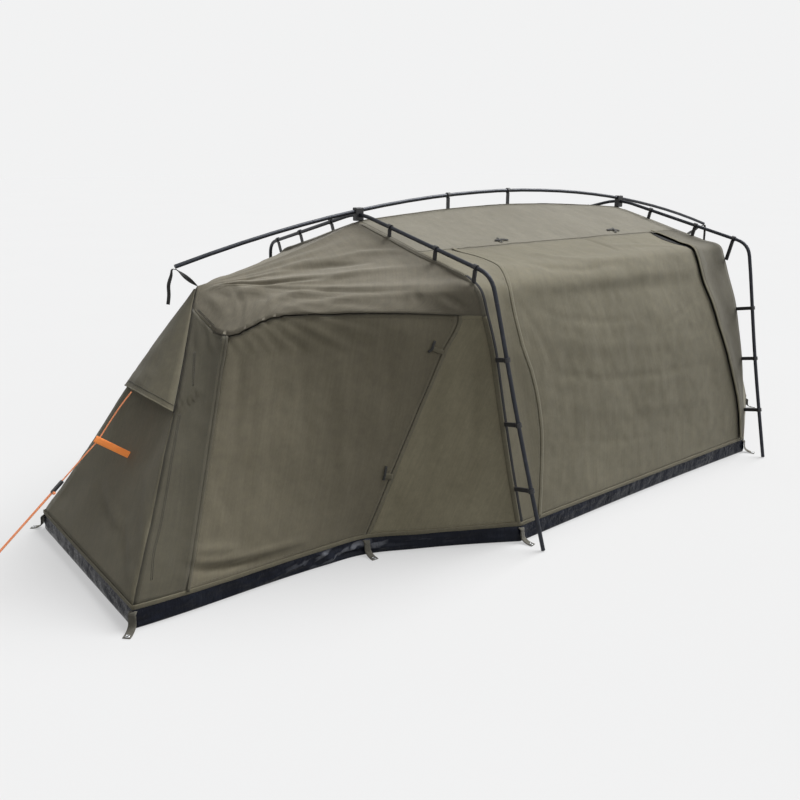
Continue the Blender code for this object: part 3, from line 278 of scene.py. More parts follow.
# Name, width, points of the photograph; the small door's ties have a look too
ROOF_TIES = (
    ("roof_tie_front", 0.009, ((495, 241.2), (502, 240.4), (508, 240.6))),
    ("roof_knot_front", 0.006, ((497, 238.5), (499, 241), (502, 243))),
    ("roof_tie_rear", 0.009, ((607, 230.6), (613, 230.2), (619, 231.2))),
    ("roof_knot_rear", 0.006, ((612, 228.4), (614, 231), (616, 233))),
)
DOOR_TIES = (
    ("door_tie_upper", 0.013, "canvas", ((431, 348), (436, 350), (440, 351.5), (443.5, 352.5))),
    ("door_knot_upper", 0.007, "black_webbing", ((435, 341), (433, 345), (432, 349), (428, 352))),
    ("door_tie_lower", 0.016, "canvas", ((384, 475.5), (388, 476), (392.5, 476.5))),
    ("door_knot_lower", 0.007, "black_webbing", ((386, 466), (385, 471), (384, 477), (383, 480))),
)

# Guy line, its tab, slider and knot
TAB_W = 0.018
TAB_T = 0.0018
TAB_ROOT = (-1.2360, -0.0394, 0.2924)
TAB_EYE = (-1.3110, -0.0310, 0.3490)
TAB_LIFT = 0.0014
# Along the tab and half its opening, from the root to the tip past the eye
TAB_PROFILE = ((0, 0.0012), (0.045, 0.0012), (0.072, 0.0026), (0.086, 0.0036), (0.096, 0.0035),
               (0.1003, 0.0020), (0.1013, 0))
ROPE_R = 0.0018
TENSIONER_PLACE = (-1.4277, -0.0350, 0.2480)
TENSIONER_LENGTH = 0.040
TENSIONER_SPACING = 0.0055
TENSIONER_WALL = 0.0014
KNOT_R = 0.004
# The knot's cord: its radius, the ring that it winds round, its swing in and out and to the sides
KNOT_CORD_R = 0.0014
KNOT_RING, KNOT_SWING, KNOT_SIDE = 0.0024, 0.0009, 0.0013
KNOT_STEPS = 48
# The guy line's route: vent hood, tab, tensioner, turn at the ground and back into the tensioner
GUY_ROUTE = (
    (-1.2085, -0.0270, 0.4625), (-1.2285, -0.0280, 0.4430), (-1.2480, -0.0290, 0.4230),
    (-1.2800, -0.0302, 0.3860), (-1.3110, -0.0310, 0.3490), (-1.3500, -0.0320, 0.3154),
    (-1.3900, -0.03225, 0.2807), (-1.4277, -0.03225, 0.2480), (-1.4800, -0.03225, 0.2026),
    (-1.5600, -0.03225, 0.1331), (-1.6400, -0.0315, 0.0635), (-1.6800, -0.0295, 0.0283),
    (-1.7021, -0.0278, 0.0080), (-1.7059, -0.0299, 0.0046), (-1.7075, -0.0350, 0.0032),
    (-1.7059, -0.0401, 0.0046), (-1.7021, -0.0422, 0.0080), (-1.6800, -0.0405, 0.0283),
    (-1.6400, -0.0385, 0.0635), (-1.5600, -0.03775, 0.1331), (-1.4800, -0.03775, 0.2026),
    (-1.4352, -0.03775, 0.2415),
)

# Camera: sensor and lens in millimetres, place, degrees below level and degrees round
SENSOR, LENS = 36, 36.49019765945489
CAMERA_PLACE = (-1.9516694, -2.10039266, 1.05)
CAMERA_DOWN, CAMERA_HEADING = 16.34231198140365, 51.30216407811712
PICTURE = 800

# Floor and light
FLOOR_REACH, FLOOR_Z = 60, -0.0004
FLOOR_LOW, FLOOR_HIGH = (0.345, 0.346, 0.347), (0.351, 0.352, 0.353)
FLOOR_GLOW = (0.888, 0.889, 0.891, 1)
FLOOR_SHOWN = 0.50
FLOOR_BOUNCE = (0.12, 0.12, 0.12)
WORLD_LEVEL = 0.27
WORLD_LIT = (0.90, 0.90, 0.90, 1)
WORLD_SHOWN = (0.885, 0.887, 0.889, 1)
# Name, direction the light comes from, strength, spread in degrees
LAMPS = (("key", (0.74, -0.10, 1.0), 3.8, 42), ("fill", (0.25, -1.0, 0.25), 0.62, 70))

# Canvas by look: material's name, its two tones and its seams' tone
# Only canvas and hem are the cloth's own tones. The others are copies of it: shade (storm flap), dim (rear
# flaps) and door are darker for painted shade, light (side walls) is paler for painted light, and the two
# roof looks are paler and greyer for a painted sheen on top.
CANVASES = {
    "canvas": ("canvas", (0.150, 0.134, 0.086), (0.182, 0.164, 0.108), (0.075, 0.068, 0.046)),
    "roof_canvas": ("roof_canvas", (0.168, 0.153, 0.112), (0.200, 0.184, 0.138), (0.085, 0.078, 0.056)),
    "shade": ("shaded_canvas", (0.080, 0.072, 0.047), (0.098, 0.088, 0.059), (0.045, 0.041, 0.028)),
    "dim": ("painted_shade_dim_canvas", (0.094, 0.084, 0.055), (0.116, 0.105, 0.071), (0.050, 0.045, 0.030)),
    "light": ("painted_light_canvas", (0.238, 0.212, 0.137), (0.286, 0.257, 0.170), (0.115, 0.105, 0.071)),
    "painted_sheen_roof": ("painted_sheen_vestibule_canvas", (0.166, 0.147, 0.104), (0.196, 0.175, 0.128), (0.085, 0.078, 0.056)),
    "door": ("painted_shade_door_canvas", (0.148, 0.130, 0.086), (0.178, 0.158, 0.106), (0.075, 0.068, 0.046)),
    "hem": ("canvas_hem", (0.165, 0.148, 0.099), (0.196, 0.178, 0.122), (0.085, 0.078, 0.054)),
}
# Looks that are copies of the canvas, mapped to the canvas slot; the mapping is not kept or used
dict.fromkeys(("shade", "dim", "light", "door", "hem", "mesh", "thread", "loop"), "canvas")


def mix(a, b, t):
    return a + (b - a) * t


def smooth_share(value, low, high):
    """0 below low and 1 above high, eased between them; takes numbers and arrays."""
    t = np.clip((value - low) / (high - low), 0, 1)
    return t * t * (3 - 2 * t)


def distances(line):
    """How far along a line each of its points lies."""
    out = [0.0]
    for a, b in zip(line, line[1:]):
        out.append(out[-1] + (b - a).length)
    return out


def ahead_at(line, i):
    return line[min(i + 1, len(line) - 1)] - line[max(i - 1, 0)]


def smooth_curve(points, steps):
    """Points along a smooth curve through the given ones."""
    ends = [points[0] * 2 - points[1]] + list(points) + [points[-1] * 2 - points[-2]]
    out = []
    for i in range(len(points) - 1):
        a, b, c, d = ends[i:i + 4]
        for k in range(steps):
            t = k / steps
            out.append(0.5 * (2 * b + (c - a) * t + (2 * a - 5 * b + 4 * c - d) * t * t
                              + (3 * b - a - 3 * c + d) * t * t * t))
    return out + [points[-1]]


def resampled(line, step):
    """The same polyline with points an even step apart."""
    total = sum((b - a).length for a, b in zip(line, line[1:]))
    count = max(2, round(total / step))
    out, walked, k = [line[0].copy()], 0.0, 0
    for n in range(1, count):
        goal = total * n / count
        while walked + (line[k + 1] - line[k]).length < goal:
            walked += (line[k + 1] - line[k]).length
            k += 1
        out.append(mix(line[k], line[k + 1], (goal - walked) / (line[k + 1] - line[k]).length))
    return out + [line[-1].copy()]


def evened(vectors, spread=3):
    """Each vector averaged with its neighbours."""
    out = []
    for i in range(len(vectors)):
        near = vectors[max(i - spread, 0):i + spread + 1]
        out.append(sum(near, Vector()) / len(near))
    return out


def kd_tree(points):
    tree = KDTree(len(points))
    for k, p in enumerate(points):
        tree.insert(p, k)
    tree.balance()
    return tree


# The coarse canvas: columns of rows on the near side, from the ridge to the floor

def ridge_z(x):
    reach = RIDGE_REAR_X - RIDGE_MID_X if x > RIDGE_MID_X else RIDGE_MID_X - RIDGE_FRONT_X
    return RIDGE_TOP - RIDGE_TIP_DROP * ((x - RIDGE_MID_X) / reach) ** 2


def hoop_column(hoop):
    start, lean = HOOPS[hoop]
    out = []
    for row, (y_share, z_share) in enumerate(HOOP_ROW_SHARES):
        z = TUB_HEIGHT + z_share * (CANVAS_TOP - TUB_HEIGHT)
        width = y_share if hoop == "mid" else END_HOOP_WIDTH_SHARES[row]
        out.append(Vector((start + lean * z, -width * BODY_HALF, z)))
    return out


def end_column(end):
    """Edge of the triangular foot or head end."""
    base_x, half, peak_z, back, shares = ENDS[end]
    return [Vector((base_x + back * z, -half * y, TUB_HEIGHT + z * (peak_z - TUB_HEIGHT))) for y, z in shares]


def vestibule_column(column):
    """Ridge, roof with its radiating folds, shoulder, door top and straight wall."""
    foot, hoop = end_column("foot"), hoop_column("mid")
    if column in (0, HOOP_COLUMN):
        return hoop if column else foot
    along = RIDGE_COLUMN_SHARES[column]
    swell = math.sin(math.pi * along)
    ridge = mix(foot[0], hoop[0], along)
    shoulder = mix(foot[0], hoop[SHOULDER_ROW], SHOULDER_COLUMN_SHARES[column])
    shoulder += Vector((0, 0, -FOLD_DEPTH * swell))
    out = []
    for row in range(SHOULDER_ROW + 1):
        t = row / SHOULDER_ROW
        fold = math.cos(3 * math.pi * t) * FOLD_DEPTH * math.sin(math.pi * t)
        out.append(mix(ridge, shoulder, t) + Vector((0, 0, (fold - RIDGE_SAG * (1 - t)) * swell)))
    x, y, z = DOOR_TOP_SHARES[column]
    top = Vector((FOOT_X + x * (MID_HOOP_X - FOOT_X), -y * BODY_HALF, z * CANVAS_TOP))
    waist = Vector((WAIST_X, -WAIST_HALF, TUB_HEIGHT))
    if column <= DOOR_HINGE_COLUMN:
        base = mix(foot[BASE_ROW], waist, FOOT_TO_WAIST_SHARES[column])
    else:
        base = mix(waist, hoop[BASE_ROW], WAIST_TO_HOOP_SHARES[column - DOOR_HINGE_COLUMN - 1])
    wall_rows = BASE_ROW - DOOR_TOP_ROW
    return out + [mix(top, base, k / wall_rows) for k in range(wall_rows + 1)]


def bay_column(column):
    """A column of the main bay: bowed ridge, straight seam row, softly rippled wall."""
    out = []
    for row, (a, b) in enumerate(zip(hoop_column("mid"), hoop_column("end"))):
        if column in (0, BAY_COLUMNS):
            u = column / BAY_COLUMNS
        else:
            u = mix(FRONT_FLAP_SHARES[row], REAR_FLAP_SHARES[row], (column - 1) / (BAY_COLUMNS - 2))
        p = mix(a, b, u)
        swell = math.sin(math.pi * u)
        if row < SEAM_ROW:
            p += Vector((0, 0, RIDGE_BOW * swell * (1 - row / SEAM_ROW)))
        else:
            t = (row - SEAM_ROW) / (BASE_ROW - SEAM_ROW)
            hang = math.sin(math.pi * t)
            wave = math.sin(5 * math.pi * t + 2 * u) * hang * RIPPLE
            p += Vector((0, (WALL_SAG * hang + wave) * swell, 0))
        out.append(p)
    return out


def head_column(share):
    return [mix(a, b, share) for a, b in zip(hoop_column("end"), end_column("head"))]


def end_face_columns(end):
    """Columns across a triangular end, near edge to far edge, drawn in at the middle."""
    edge = end_column(end)
    inward = 1 if end == "foot" else -1
    peak = edge[0].z - TUB_HEIGHT
    out = []
    for k in range(END_FACE_COLUMNS + 1):
        across = 2 * k / END_FACE_COLUMNS - 1
        column = []
        for p in edge:
            belly = (1 - across * across) * math.sin(math.pi * (p.z - TUB_HEIGHT) / peak)
            column.append(Vector((p.x + inward * END_SAG * belly, -p.y * across, p.z)))
        out.append(column)
    return out


def pitched(points):
    """The foot end as it stands, drawn a little to one side below its peak: an array of the places."""
    out = np.array(points, dtype=float)
    ease = smooth_share(out[..., 0], WAIST_X, FOOT_X)
    out[..., 1] += FOOT_SKEW * ease * (1 - (out[..., 2] / FOOT_PEAK_Z) ** 2)
    return out


# The camera, at the photograph's place

def make_camera():
    data = bpy.data.cameras.new("camera")
    data.sensor_width = SENSOR
    data.lens = LENS
    cam = bpy.data.objects.new("camera", data)
    cam.location = CAMERA_PLACE
    cam.rotation_euler = (math.radians(90 - CAMERA_DOWN), 0, math.radians(CAMERA_HEADING - 90))
    bpy.context.scene.collection.objects.link(cam)
    bpy.context.scene.camera = cam
    bpy.context.view_layer.update()
    return cam


def view_ray(px, py):
    """Ray from the camera through a point of the photograph."""
    focal = LENS / SENSOR * PICTURE
    aim = Vector(((px - PICTURE / 2) / focal, (PICTURE / 2 - py) / focal, -1))
    turn = CAMERA.matrix_world.to_3x3()
    return CAMERA.matrix_world.translation.copy(), (turn @ aim).normalized()


# Materials: every one is made of nodes

class Nodes:
    """Short way to add and wire the nodes of a material, or of the tree that is given."""

    def __init__(self, name, tree=None):
        if tree is None:
            self.mat = bpy.data.materials.new(name)
            self.mat.use_nodes = True
            tree = self.mat.node_tree
            self.shader = tree.nodes["Principled BSDF"]
        self.tree = tree
        self.wire = tree.links.new

    def add(self, kind, **values):
        """A node; values that start with in_ go to its inputs."""
        node = self.tree.nodes.new(kind)
        for key, value in values.items():
            if key.startswith("in_"):
                node.inputs[key[3:].replace("_", " ")].default_value = value
            else:
                setattr(node, key, value)
        return node

    def give(self, socket, value):
        """Wires a value into a socket, or sets it there when it is a number or a colour."""
        if isinstance(value, bpy.types.NodeSocket):
            self.wire(value, socket)
        else:
            socket.default_value = (*value, 1) if isinstance(value, tuple) and len(value) == 3 else value

    def scaled(self, place, scale):
        node = self.add("ShaderNodeMapping", in_Scale=scale)
        self.wire(place, node.inputs["Vector"])
        return node.outputs["Vector"]

    def noise(self, place, scale, detail=4, rough=0.55, stretch=None):
        node = self.add("ShaderNodeTexNoise", in_Scale=scale, in_Detail=detail, in_Roughness=rough)
        self.wire(self.scaled(place, stretch) if stretch else place, node.inputs["Vector"])
        return node.outputs["Fac"]

    def wave(self, place, scale, axis, distortion=0.0):
        node = self.add("ShaderNodeTexWave", wave_type="BANDS", bands_direction=axis, in_Scale=scale,
                        in_Distortion=distortion)
        self.wire(place, node.inputs["Vector"])
        return node.outputs["Fac"]

    def maths(self, operation, a, b=None):
        node = self.add("ShaderNodeMath", operation=operation)
        self.give(node.inputs[0], a)
        if b is not None:
            self.give(node.inputs[1], b)
        return node.outputs[0]

    def ramp(self, value, *stops):
        """Colours, or grey levels, at places along a value."""
        node = self.add("ShaderNodeValToRGB")
        bar = node.color_ramp
        while len(bar.elements) < len(stops):
            bar.elements.new(0.5)
        for element, (place, colour) in zip(bar.elements, stops):
            element.position = place
            element.color = (*colour, 1) if isinstance(colour, tuple) else (colour, colour, colour, 1)
        self.wire(value, node.inputs["Fac"])
        return node.outputs["Color"]

    def blend(self, factor, a, b, how="MIX"):
        node = self.add("ShaderNodeMix", data_type="RGBA", blend_type=how)
        for place, value in ((0, factor), (6, a), (7, b)):
            self.give(node.inputs[place], value)
        return node.outputs[2]

    def mottled(self, amount, colour, pattern, *stops):
        """A colour made lighter and darker by a pattern."""
        return self.blend(amount, colour, self.ramp(pattern, *stops), "OVERLAY")

    def bump(self, height, distance, strength=1.0, below=None):
        node = self.add("ShaderNodeBump", in_Strength=strength, in_Distance=distance)
        self.wire(height, node.inputs["Height"])
        if below is not None:
            self.wire(below, node.inputs["Normal"])
        return node.outputs["Normal"]

    def attribute(self, name):
        return self.add("ShaderNodeAttribute", attribute_name=name).outputs["Fac"]

    def place(self, kind="Object"):
        return self.add("ShaderNodeTexCoord").outputs[kind]

    def backdrop_rays(self):
        """1 on the rays that show the background: camera, glossy and transmission."""
        path = self.add("ShaderNodeLightPath").outputs
        both = self.maths("MAXIMUM", path["Is Camera Ray"], path["Is Glossy Ray"])
        return self.maths("MAXIMUM", both, path["Is Transmission Ray"])

    def finish(self, colour, rough, normal=None, **constants):
        self.wire(colour, self.shader.inputs["Base Color"])
        self.give(self.shader.inputs["Roughness"], rough)
        if normal is not None:
            self.wire(normal, self.shader.inputs["Normal"])
        for key, value in constants.items():
            self.shader.inputs[key.replace("_", " ")].default_value = value
        return self.mat


def canvas_material(name, low, high, seam):
    """Proofed cotton canvas: plain weave, slub, soft mottling, stitched and scuffed edges."""
    n = Nodes(name)
    uv, place = n.place("UV"), n.place()
    broad = n.noise(place, 5, 3)
    fine = n.noise(place, 46, 5, 0.6)
    slub = n.noise(uv, 900, 2, 0.5, stretch=(1, 0.12, 1))
    streak = n.noise(uv, 130, 3, 0.6, stretch=(1, 0.05, 1))
    colour = n.ramp(broad, (0.30, low), (0.72, high))
    colour = n.mottled(0.35, colour, fine, (0.30, 0.36), (0.72, 0.64))
    colour = n.mottled(0.25, colour, slub, (0.25, 0.30), (0.75, 0.68))
    colour = n.mottled(0.22, colour, streak, (0.30, 0.34), (0.70, 0.66))
    edge = n.attribute("edge")
    wobble = n.maths("ADD", edge, n.maths("MULTIPLY", n.noise(place, 60, 2), 0.004))
    scuff = n.ramp(wobble, (0.0015, 1.0), (0.0040, 0.0))
    colour = n.blend(n.maths("MULTIPLY", scuff, 0.45), colour, seam)
    across = n.maths("ABSOLUTE", n.maths("SUBTRACT", edge, STITCH_INSET))
    line = n.maths("LESS_THAN", across, STITCH_HALF)
    dash = n.maths("GREATER_THAN", n.wave(uv, 55, "DIAGONAL"), 0.35)
    stitch = n.maths("MULTIPLY", line, dash)
    colour = n.blend(n.maths("MULTIPLY", stitch, 0.45), colour, seam)
    warp, weft = n.wave(uv, WEAVE, "X", 0.6), n.wave(uv, WEAVE, "Y", 0.6)
    weave = n.maths("ADD", n.maths("MULTIPLY", warp, weft), n.maths("MULTIPLY", slub, 0.7))
    normal = n.bump(n.noise(place, 16, 4, 0.5), 0.004, 0.22)
    normal = n.bump(weave, 0.0004, 0.45, normal)
    normal = n.bump(stitch, 0.0008, 0.8, normal)
    rough = n.ramp(fine, (0.2, 0.80), (0.8, 0.95))
    return n.finish(colour, rough, normal, Sheen_Weight=0.15, Sheen_Roughness=0.6)


def webbing_material(name, low, high, painted_glow=0.0):
    """Woven tape: a fine herringbone across its width; painted_glow makes the tape give off light of its own
    colour, painted light though it is no lamp.
    """
    n = Nodes(name)
    uv, place = n.place("UV"), n.place()
    zig = n.wave(uv, 260, "DIAGONAL", 0.5)
    colour = n.ramp(n.noise(place, 38, 3), (0.3, low), (0.75, high))
    colour = n.mottled(0.4, colour, zig, (0, 0.32), (1, 0.62))
    ribs = n.maths("ADD", n.wave(uv, 150, "X", 0.3), n.maths("MULTIPLY", zig, 0.5))
    normal = n.bump(n.noise(place, 350, 3), 0.0005, 0.4, n.bump(ribs, 0.0006, 0.7))
    return n.finish(colour, 0.82, normal, Sheen_Weight=0.2, Emission_Color=(*high, 1), Emission_Strength=painted_glow)


def cord_material(name, low, high, fleck, painted_glow=0.0):
    """Braided cord: two crossing lays of strands, with small flecks of another colour."""
    n = Nodes(name)
    uv = n.place("UV")
    braid = n.maths("MAXIMUM", n.wave(uv, 95, "DIAGONAL"), n.wave(n.scaled(uv, (-1, 1, 1)), 95, "DIAGONAL"))
    colour = n.ramp(n.noise(n.place(), 60, 3), (0.3, low), (0.7, high))
    flecks = n.maths("GREATER_THAN", n.noise(uv, 160, 1), 0.66)
    colour = n.blend(n.maths("MULTIPLY", flecks, 0.5), colour, fleck)
    colour = n.mottled(0.5, colour, braid, (0, 0.22), (0.8, 0.62))
    lays = n.bump(braid, 0.0006, 0.9)
    # The cord gives off light of its own colour: painted light, though it is no lamp
    return n.finish(colour, 0.7, lays, Emission_Color=(*high, 1), Emission_Strength=painted_glow)


def vinyl_material():
    """Dark navy coated tarpaulin: soft sheen, crinkles with a painted highlight on those by the waist, dust
    and a faint scrim.
    """
    n = Nodes("tub_vinyl")
    uv, place = n.place("UV"), n.place()
    crinkle = n.noise(uv, 26, 5, 0.62, stretch=(1, 0.45, 1))
    cells = n.add("ShaderNodeTexVoronoi", feature="SMOOTH_F1", in_Scale=34.0)
    n.wire(uv, cells.inputs["Vector"])
    colour = n.ramp(n.noise(place, 9, 4), (0.3, (0.007, 0.009, 0.018)), (0.7, (0.014, 0.018, 0.032)))
    dust = n.ramp(n.noise(place, 120, 4, 0.7), (0.58, 0.0), (0.8, 0.16))
    colour = n.blend(dust, colour, (0.045, 0.045, 0.052))
    # Painted highlight: a paler grey-blue on the crinkles where the mesh's per-point highlight value is high
    painted_highlight_mask = n.maths("MULTIPLY", n.attribute("painted_highlight"), n.maths("ADD", crinkle, 0.45))
    colour = n.blend(n.ramp(painted_highlight_mask, (0.10, 0.0), (0.85, 0.85)), colour, (0.21, 0.22, 0.25))
    normal = n.bump(crinkle, 0.014, 0.8)
    normal = n.bump(cells.outputs["Distance"], 0.008, 0.5, normal)
    normal = n.bump(n.noise(uv, 700, 2), 0.0003, 0.3, normal)
    rough = n.ramp(crinkle, (0.3, 0.10), (0.7, 0.26))
    return n.finish(colour, rough, normal, Specular_IOR_Level=0.09, Coat_Weight=0.05, Coat_Roughness=0.08)


def alloy_material():
    """Anodised alloy tube: fine drawn lines, small rub marks."""
    n = Nodes("pole_alloy")
    drawn = n.noise(n.place(), 420, 2, 0.5, stretch=(0.15, 1, 1))
    colour = n.ramp(n.noise(n.place(), 28, 5, 0.7), (0.35, (0.014, 0.016, 0.022)),
                    (0.62, (0.024, 0.027, 0.036)), (0.78, (0.09, 0.095, 0.11)))
    rough = n.ramp(drawn, (0.3, 0.30), (0.7, 0.44))
    return n.finish(colour, rough, n.bump(drawn, 0.0002, 0.4), Metallic=0.55)


def plastic_material():
    """Moulded black nylon with a fine spark texture."""
    n = Nodes("clip_plastic")
    grain = n.noise(n.place(), 1300, 2, 0.6)
    colour = n.ramp(n.noise(n.place(), 70, 4), (0.35, (0.010, 0.010, 0.012)), (0.75, (0.026, 0.026, 0.028)))
    return n.finish(colour, n.ramp(grain, (0.3, 0.42), (0.7, 0.56)), n.bump(grain, 0.0002, 0.5))


def metal_material():
    """Bright pressed eyelets with handling marks."""
    n = Nodes("eyelet_steel")
    rub = n.noise(n.place(), 160, 4, 0.6)
    colour = n.ramp(rub, (0.3, (0.42, 0.43, 0.45)), (0.7, (0.66, 0.67, 0.69)))
    return n.finish(colour, n.ramp(rub, (0.3, 0.22), (0.7, 0.40)), n.bump(rub, 0.0002, 0.3), Metallic=1.0)


def cover_material():
    """Mattress cover: brushed polyester with a close rib."""
    n = Nodes("mattress_cover")
    rib = n.wave(n.place(), 110, "Y", 0.4)
    colour = n.ramp(n.noise(n.place(), 6, 3), (0.3, (0.075, 0.078, 0.080)), (0.7, (0.115, 0.118, 0.120)))
    colour = n.mottled(0.3, colour, rib, (0, 0.34), (1, 0.60))
    normal = n.bump(n.maths("ADD", rib, n.noise(n.place(), 300, 3)), 0.0008, 0.5)
    return n.finish(colour, 0.92, normal, Sheen_Weight=0.3)


def mesh_cloth_material():
    """Insect mesh: close black knitted net, seen as a dark sheet with a fine grid; also laid in bands as
    painted shadow.
    """
    n = Nodes("insect_mesh_and_painted_shadow")
    grid = n.maths("MAXIMUM", n.wave(n.place("UV"), 140, "X"), n.wave(n.place("UV"), 140, "Y"))
    colour = n.ramp(n.noise(n.place(), 22, 3), (0.3, (0.006, 0.006, 0.007)), (0.75, (0.016, 0.016, 0.017)))
    return n.finish(colour, 0.9, n.bump(grid, 0.0005, 0.6))


# Making meshes

def put(name, verts, faces, look, body="swag", uvs=None):
    """A mesh piece of one look that rides on a body; uvs are per vertex, in metres."""
    mesh = bpy.data.meshes.new(name)
    mesh.from_pydata([tuple(v) for v in verts], [], [tuple(f) for f in faces])
    if uvs is not None:
        layer = mesh.uv_layers.new(name="cloth")
        loops = np.empty(len(mesh.loops), dtype=np.int32)
        mesh.loops.foreach_get("vertex_index", loops)
        layer.data.foreach_set("uv", np.asarray(uvs, dtype=np.float32)[loops].ravel())
    mesh.materials.append(MATERIALS[look])
    mesh.shade_smooth()
    obj = bpy.data.objects.new(name, mesh)
    bpy.context.scene.collection.objects.link(obj)
    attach(obj, body)
    return obj


def vertex_layer(obj, name, values):
    """Keeps a number for each vertex, for the materials."""
    layer = obj.data.attributes.new(name, "FLOAT", "POINT")
    layer.data.foreach_set("value", np.array(values, dtype=np.float32))


def face_outwards(obj):
    """Turns every face outwards."""
    bm = bmesh.new()
    bm.from_mesh(obj.data)
    bmesh.ops.recalc_face_normals(bm, faces=bm.faces[:])
    bm.to_mesh(obj.data)
    bm.free()


def ring_faces(rings, count):
    """Quads between neighbouring rings of points, and a face at each end."""
    faces = []
    for k in range(rings - 1):
        for i in range(count):
            j = (i + 1) % count
            faces.append((k * count + i, k * count + j, (k + 1) * count + j, (k + 1) * count + i))
    faces.append(tuple(range(count))[::-1])
    faces.append(tuple((rings - 1) * count + i for i in range(count)))
    return faces


def closed_faces(around, size):
    """Quads of a closed section that is carried all the way round."""
    return [(i * size + k, i * size + m, j * size + m, j * size + k)
            for i in range(around) for j in [(i + 1) % around]
            for k in range(size) for m in [(k + 1) % size]]


def flat_band(name, sections, look, body):
    """A band with a section for each step: its upper points, its lower points and their places in cloth."""
    verts = [p for top, low, _ in sections for p in top + low[::-1]]
    uvs = [spot for _, _, spots in sections for spot in spots + spots[::-1]]
    return put(name, verts, ring_faces(len(sections), 2 * len(sections[0][0])), look, body, uvs)


def tube(name, line, radius, look, sides=12):
    """A round cord along a line."""
    verts, uvs, side = [], [], None
    for i, (p, along) in enumerate(zip(line, distances(line))):
        ahead = ahead_at(line, i).normalized()
        if side is None:
            guide = Vector((1, 0, 0)) if abs(ahead.x) < 0.7 else Vector((0, 1, 0))
            side = ahead.cross(guide).normalized()
        side = (side - ahead * side.dot(ahead)).normalized()
        up = ahead.cross(side)
        for k in range(sides):
            turn = 2 * math.pi * k / sides
            verts.append(p + (side * math.cos(turn) + up * math.sin(turn)) * radius)
            uvs.append((along, 2 * math.pi * radius * abs(k / sides - 0.5) * 2))
    return put(name, verts, ring_faces(len(line), sides), look, uvs=uvs)


def strap(name, line, across, width, thick, look, body="swag", twist=0.0, rows=5):
    """Flat webbing along a free line; across is its width's direction, twist in turns."""
    sections = []
    directions = across if isinstance(across, list) else [across] * len(line)
    for i, (p, along) in enumerate(zip(line, distances(line))):
        ahead = ahead_at(line, i).normalized()
        wide = Vector(directions[i])
        wide = (wide - ahead * wide.dot(ahead)).normalized()
        up = ahead.cross(wide)
        turn = 2 * math.pi * twist * i / (len(line) - 1)
        wide, up = wide * math.cos(turn) + up * math.sin(turn), up * math.cos(turn) - wide * math.sin(turn)
        top, low, spots = [], [], []
        for k in range(rows):
            share = k / (rows - 1) - 0.5
            thin = 1 - 0.45 * abs(2 * share) ** 4
            top.append(p + wide * share * width + up * thick / 2 * thin)
            low.append(p + wide * share * width - up * thick / 2 * thin)
            spots.append((along, share * width))
        sections.append((top, low, spots))
    return flat_band(name, sections, look, body)


def eyelet(name, centre, radius, sides=28, rim_sides=10):
    """A level pressed ring with a rolled rim."""
    up = Vector((0, 0, 1))
    side = up.orthogonal().normalized()
    turns = [2 * math.pi * k / rim_sides for k in range(rim_sides)]
    profile = [(radius + EYELET_ROLL * math.cos(t), EYELET_RISE * math.sin(t)) for t in turns]
    verts = []
    for i in range(sides):
        turn = 2 * math.pi * i / sides
        out = side * math.cos(turn) + up.cross(side) * math.sin(turn)
        verts += [centre + out * r + up * h for r, h in profile]
    return put(name, verts, closed_faces(sides, rim_sides), "eyelet")


# The fine canvas skin

def spline_rows(points, steps):
    """Smooth curve through an array of points, with its own count of steps in each interval."""
    gaps = np.diff(points, axis=0)
    size = np.maximum(np.linalg.norm(gaps, axis=-1), 1e-6)[..., None]
    slopes = gaps / size
    tangents = np.empty_like(points)
    tangents[1:-1] = (slopes[:-1] * size[1:] + slopes[1:] * size[:-1]) / (size[1:] + size[:-1])
    tangents[0] = 1.5 * slopes[0] - 0.5 * tangents[1]
    tangents[-1] = 1.5 * slopes[-1] - 0.5 * tangents[-2]
    out = []
    for i, count in enumerate(steps):
        for k in range(count):
            t = k / count
            out.append((2 * t ** 3 - 3 * t * t + 1) * points[i]
                       + (t ** 3 - 2 * t * t + t) * size[i] * tangents[i]
                       + (3 * t * t - 2 * t ** 3) * points[i + 1]
                       + (t ** 3 - t * t) * size[i] * tangents[i + 1])
    out.append(points[-1])
    return np.array(out)


def fine_grid(columns, row_steps):
    """Array of columns by rows by xyz, and the starts of the coarse columns and rows in it."""
    coarse = np.array([[tuple(p) for p in column] for column in columns])
    gaps = [sum((p - q).length for p, q in zip(a, b)) / len(a) for a, b in zip(columns, columns[1:])]
    column_steps = [max(2, round(gap / CELL)) for gap in gaps]
    rows = spline_rows(coarse.transpose(1, 0, 2), row_steps)
    grid = spline_rows(rows.transpose(1, 0, 2), column_steps)
    return grid, np.concatenate([[0], np.cumsum(column_steps)]), np.concatenate([[0], np.cumsum(row_steps)])


class FineSkin:
    """The whole canvas as one welded surface, kept with its panels' quads."""

    def __init__(self):
        self.points = []
        self.uv = []
        self.zone = []
        self.index = {}
        self.panels = {}
        self.paths = {}

    def point(self, p, uv, zone):
        key = tuple(round(float(v) * 20000) for v in p)
        if key not in self.index:
            self.index[key] = len(self.points)
            self.points.append(tuple(float(v) for v in p))
            self.uv.append(uv)
            self.zone.append(zone)
        return self.index[key]

    def grid(self, panel, grid, uv, flip, zone):
        faces = self.panels.setdefault(panel, [])
        wide, tall = grid.shape[:2]
        ids = [[self.point(grid[i, j], uv[i][j], zone) for j in range(tall)] for i in range(wide)]
        for i in range(wide - 1):
            for j in range(tall - 1):
                ring = [ids[i][j], ids[i][j + 1], ids[i + 1][j + 1], ids[i + 1][j]]
                ring = list(dict.fromkeys(ring[::-1] if flip else ring))
                if len(ring) > 2:
                    faces.append(ring)
        return ids


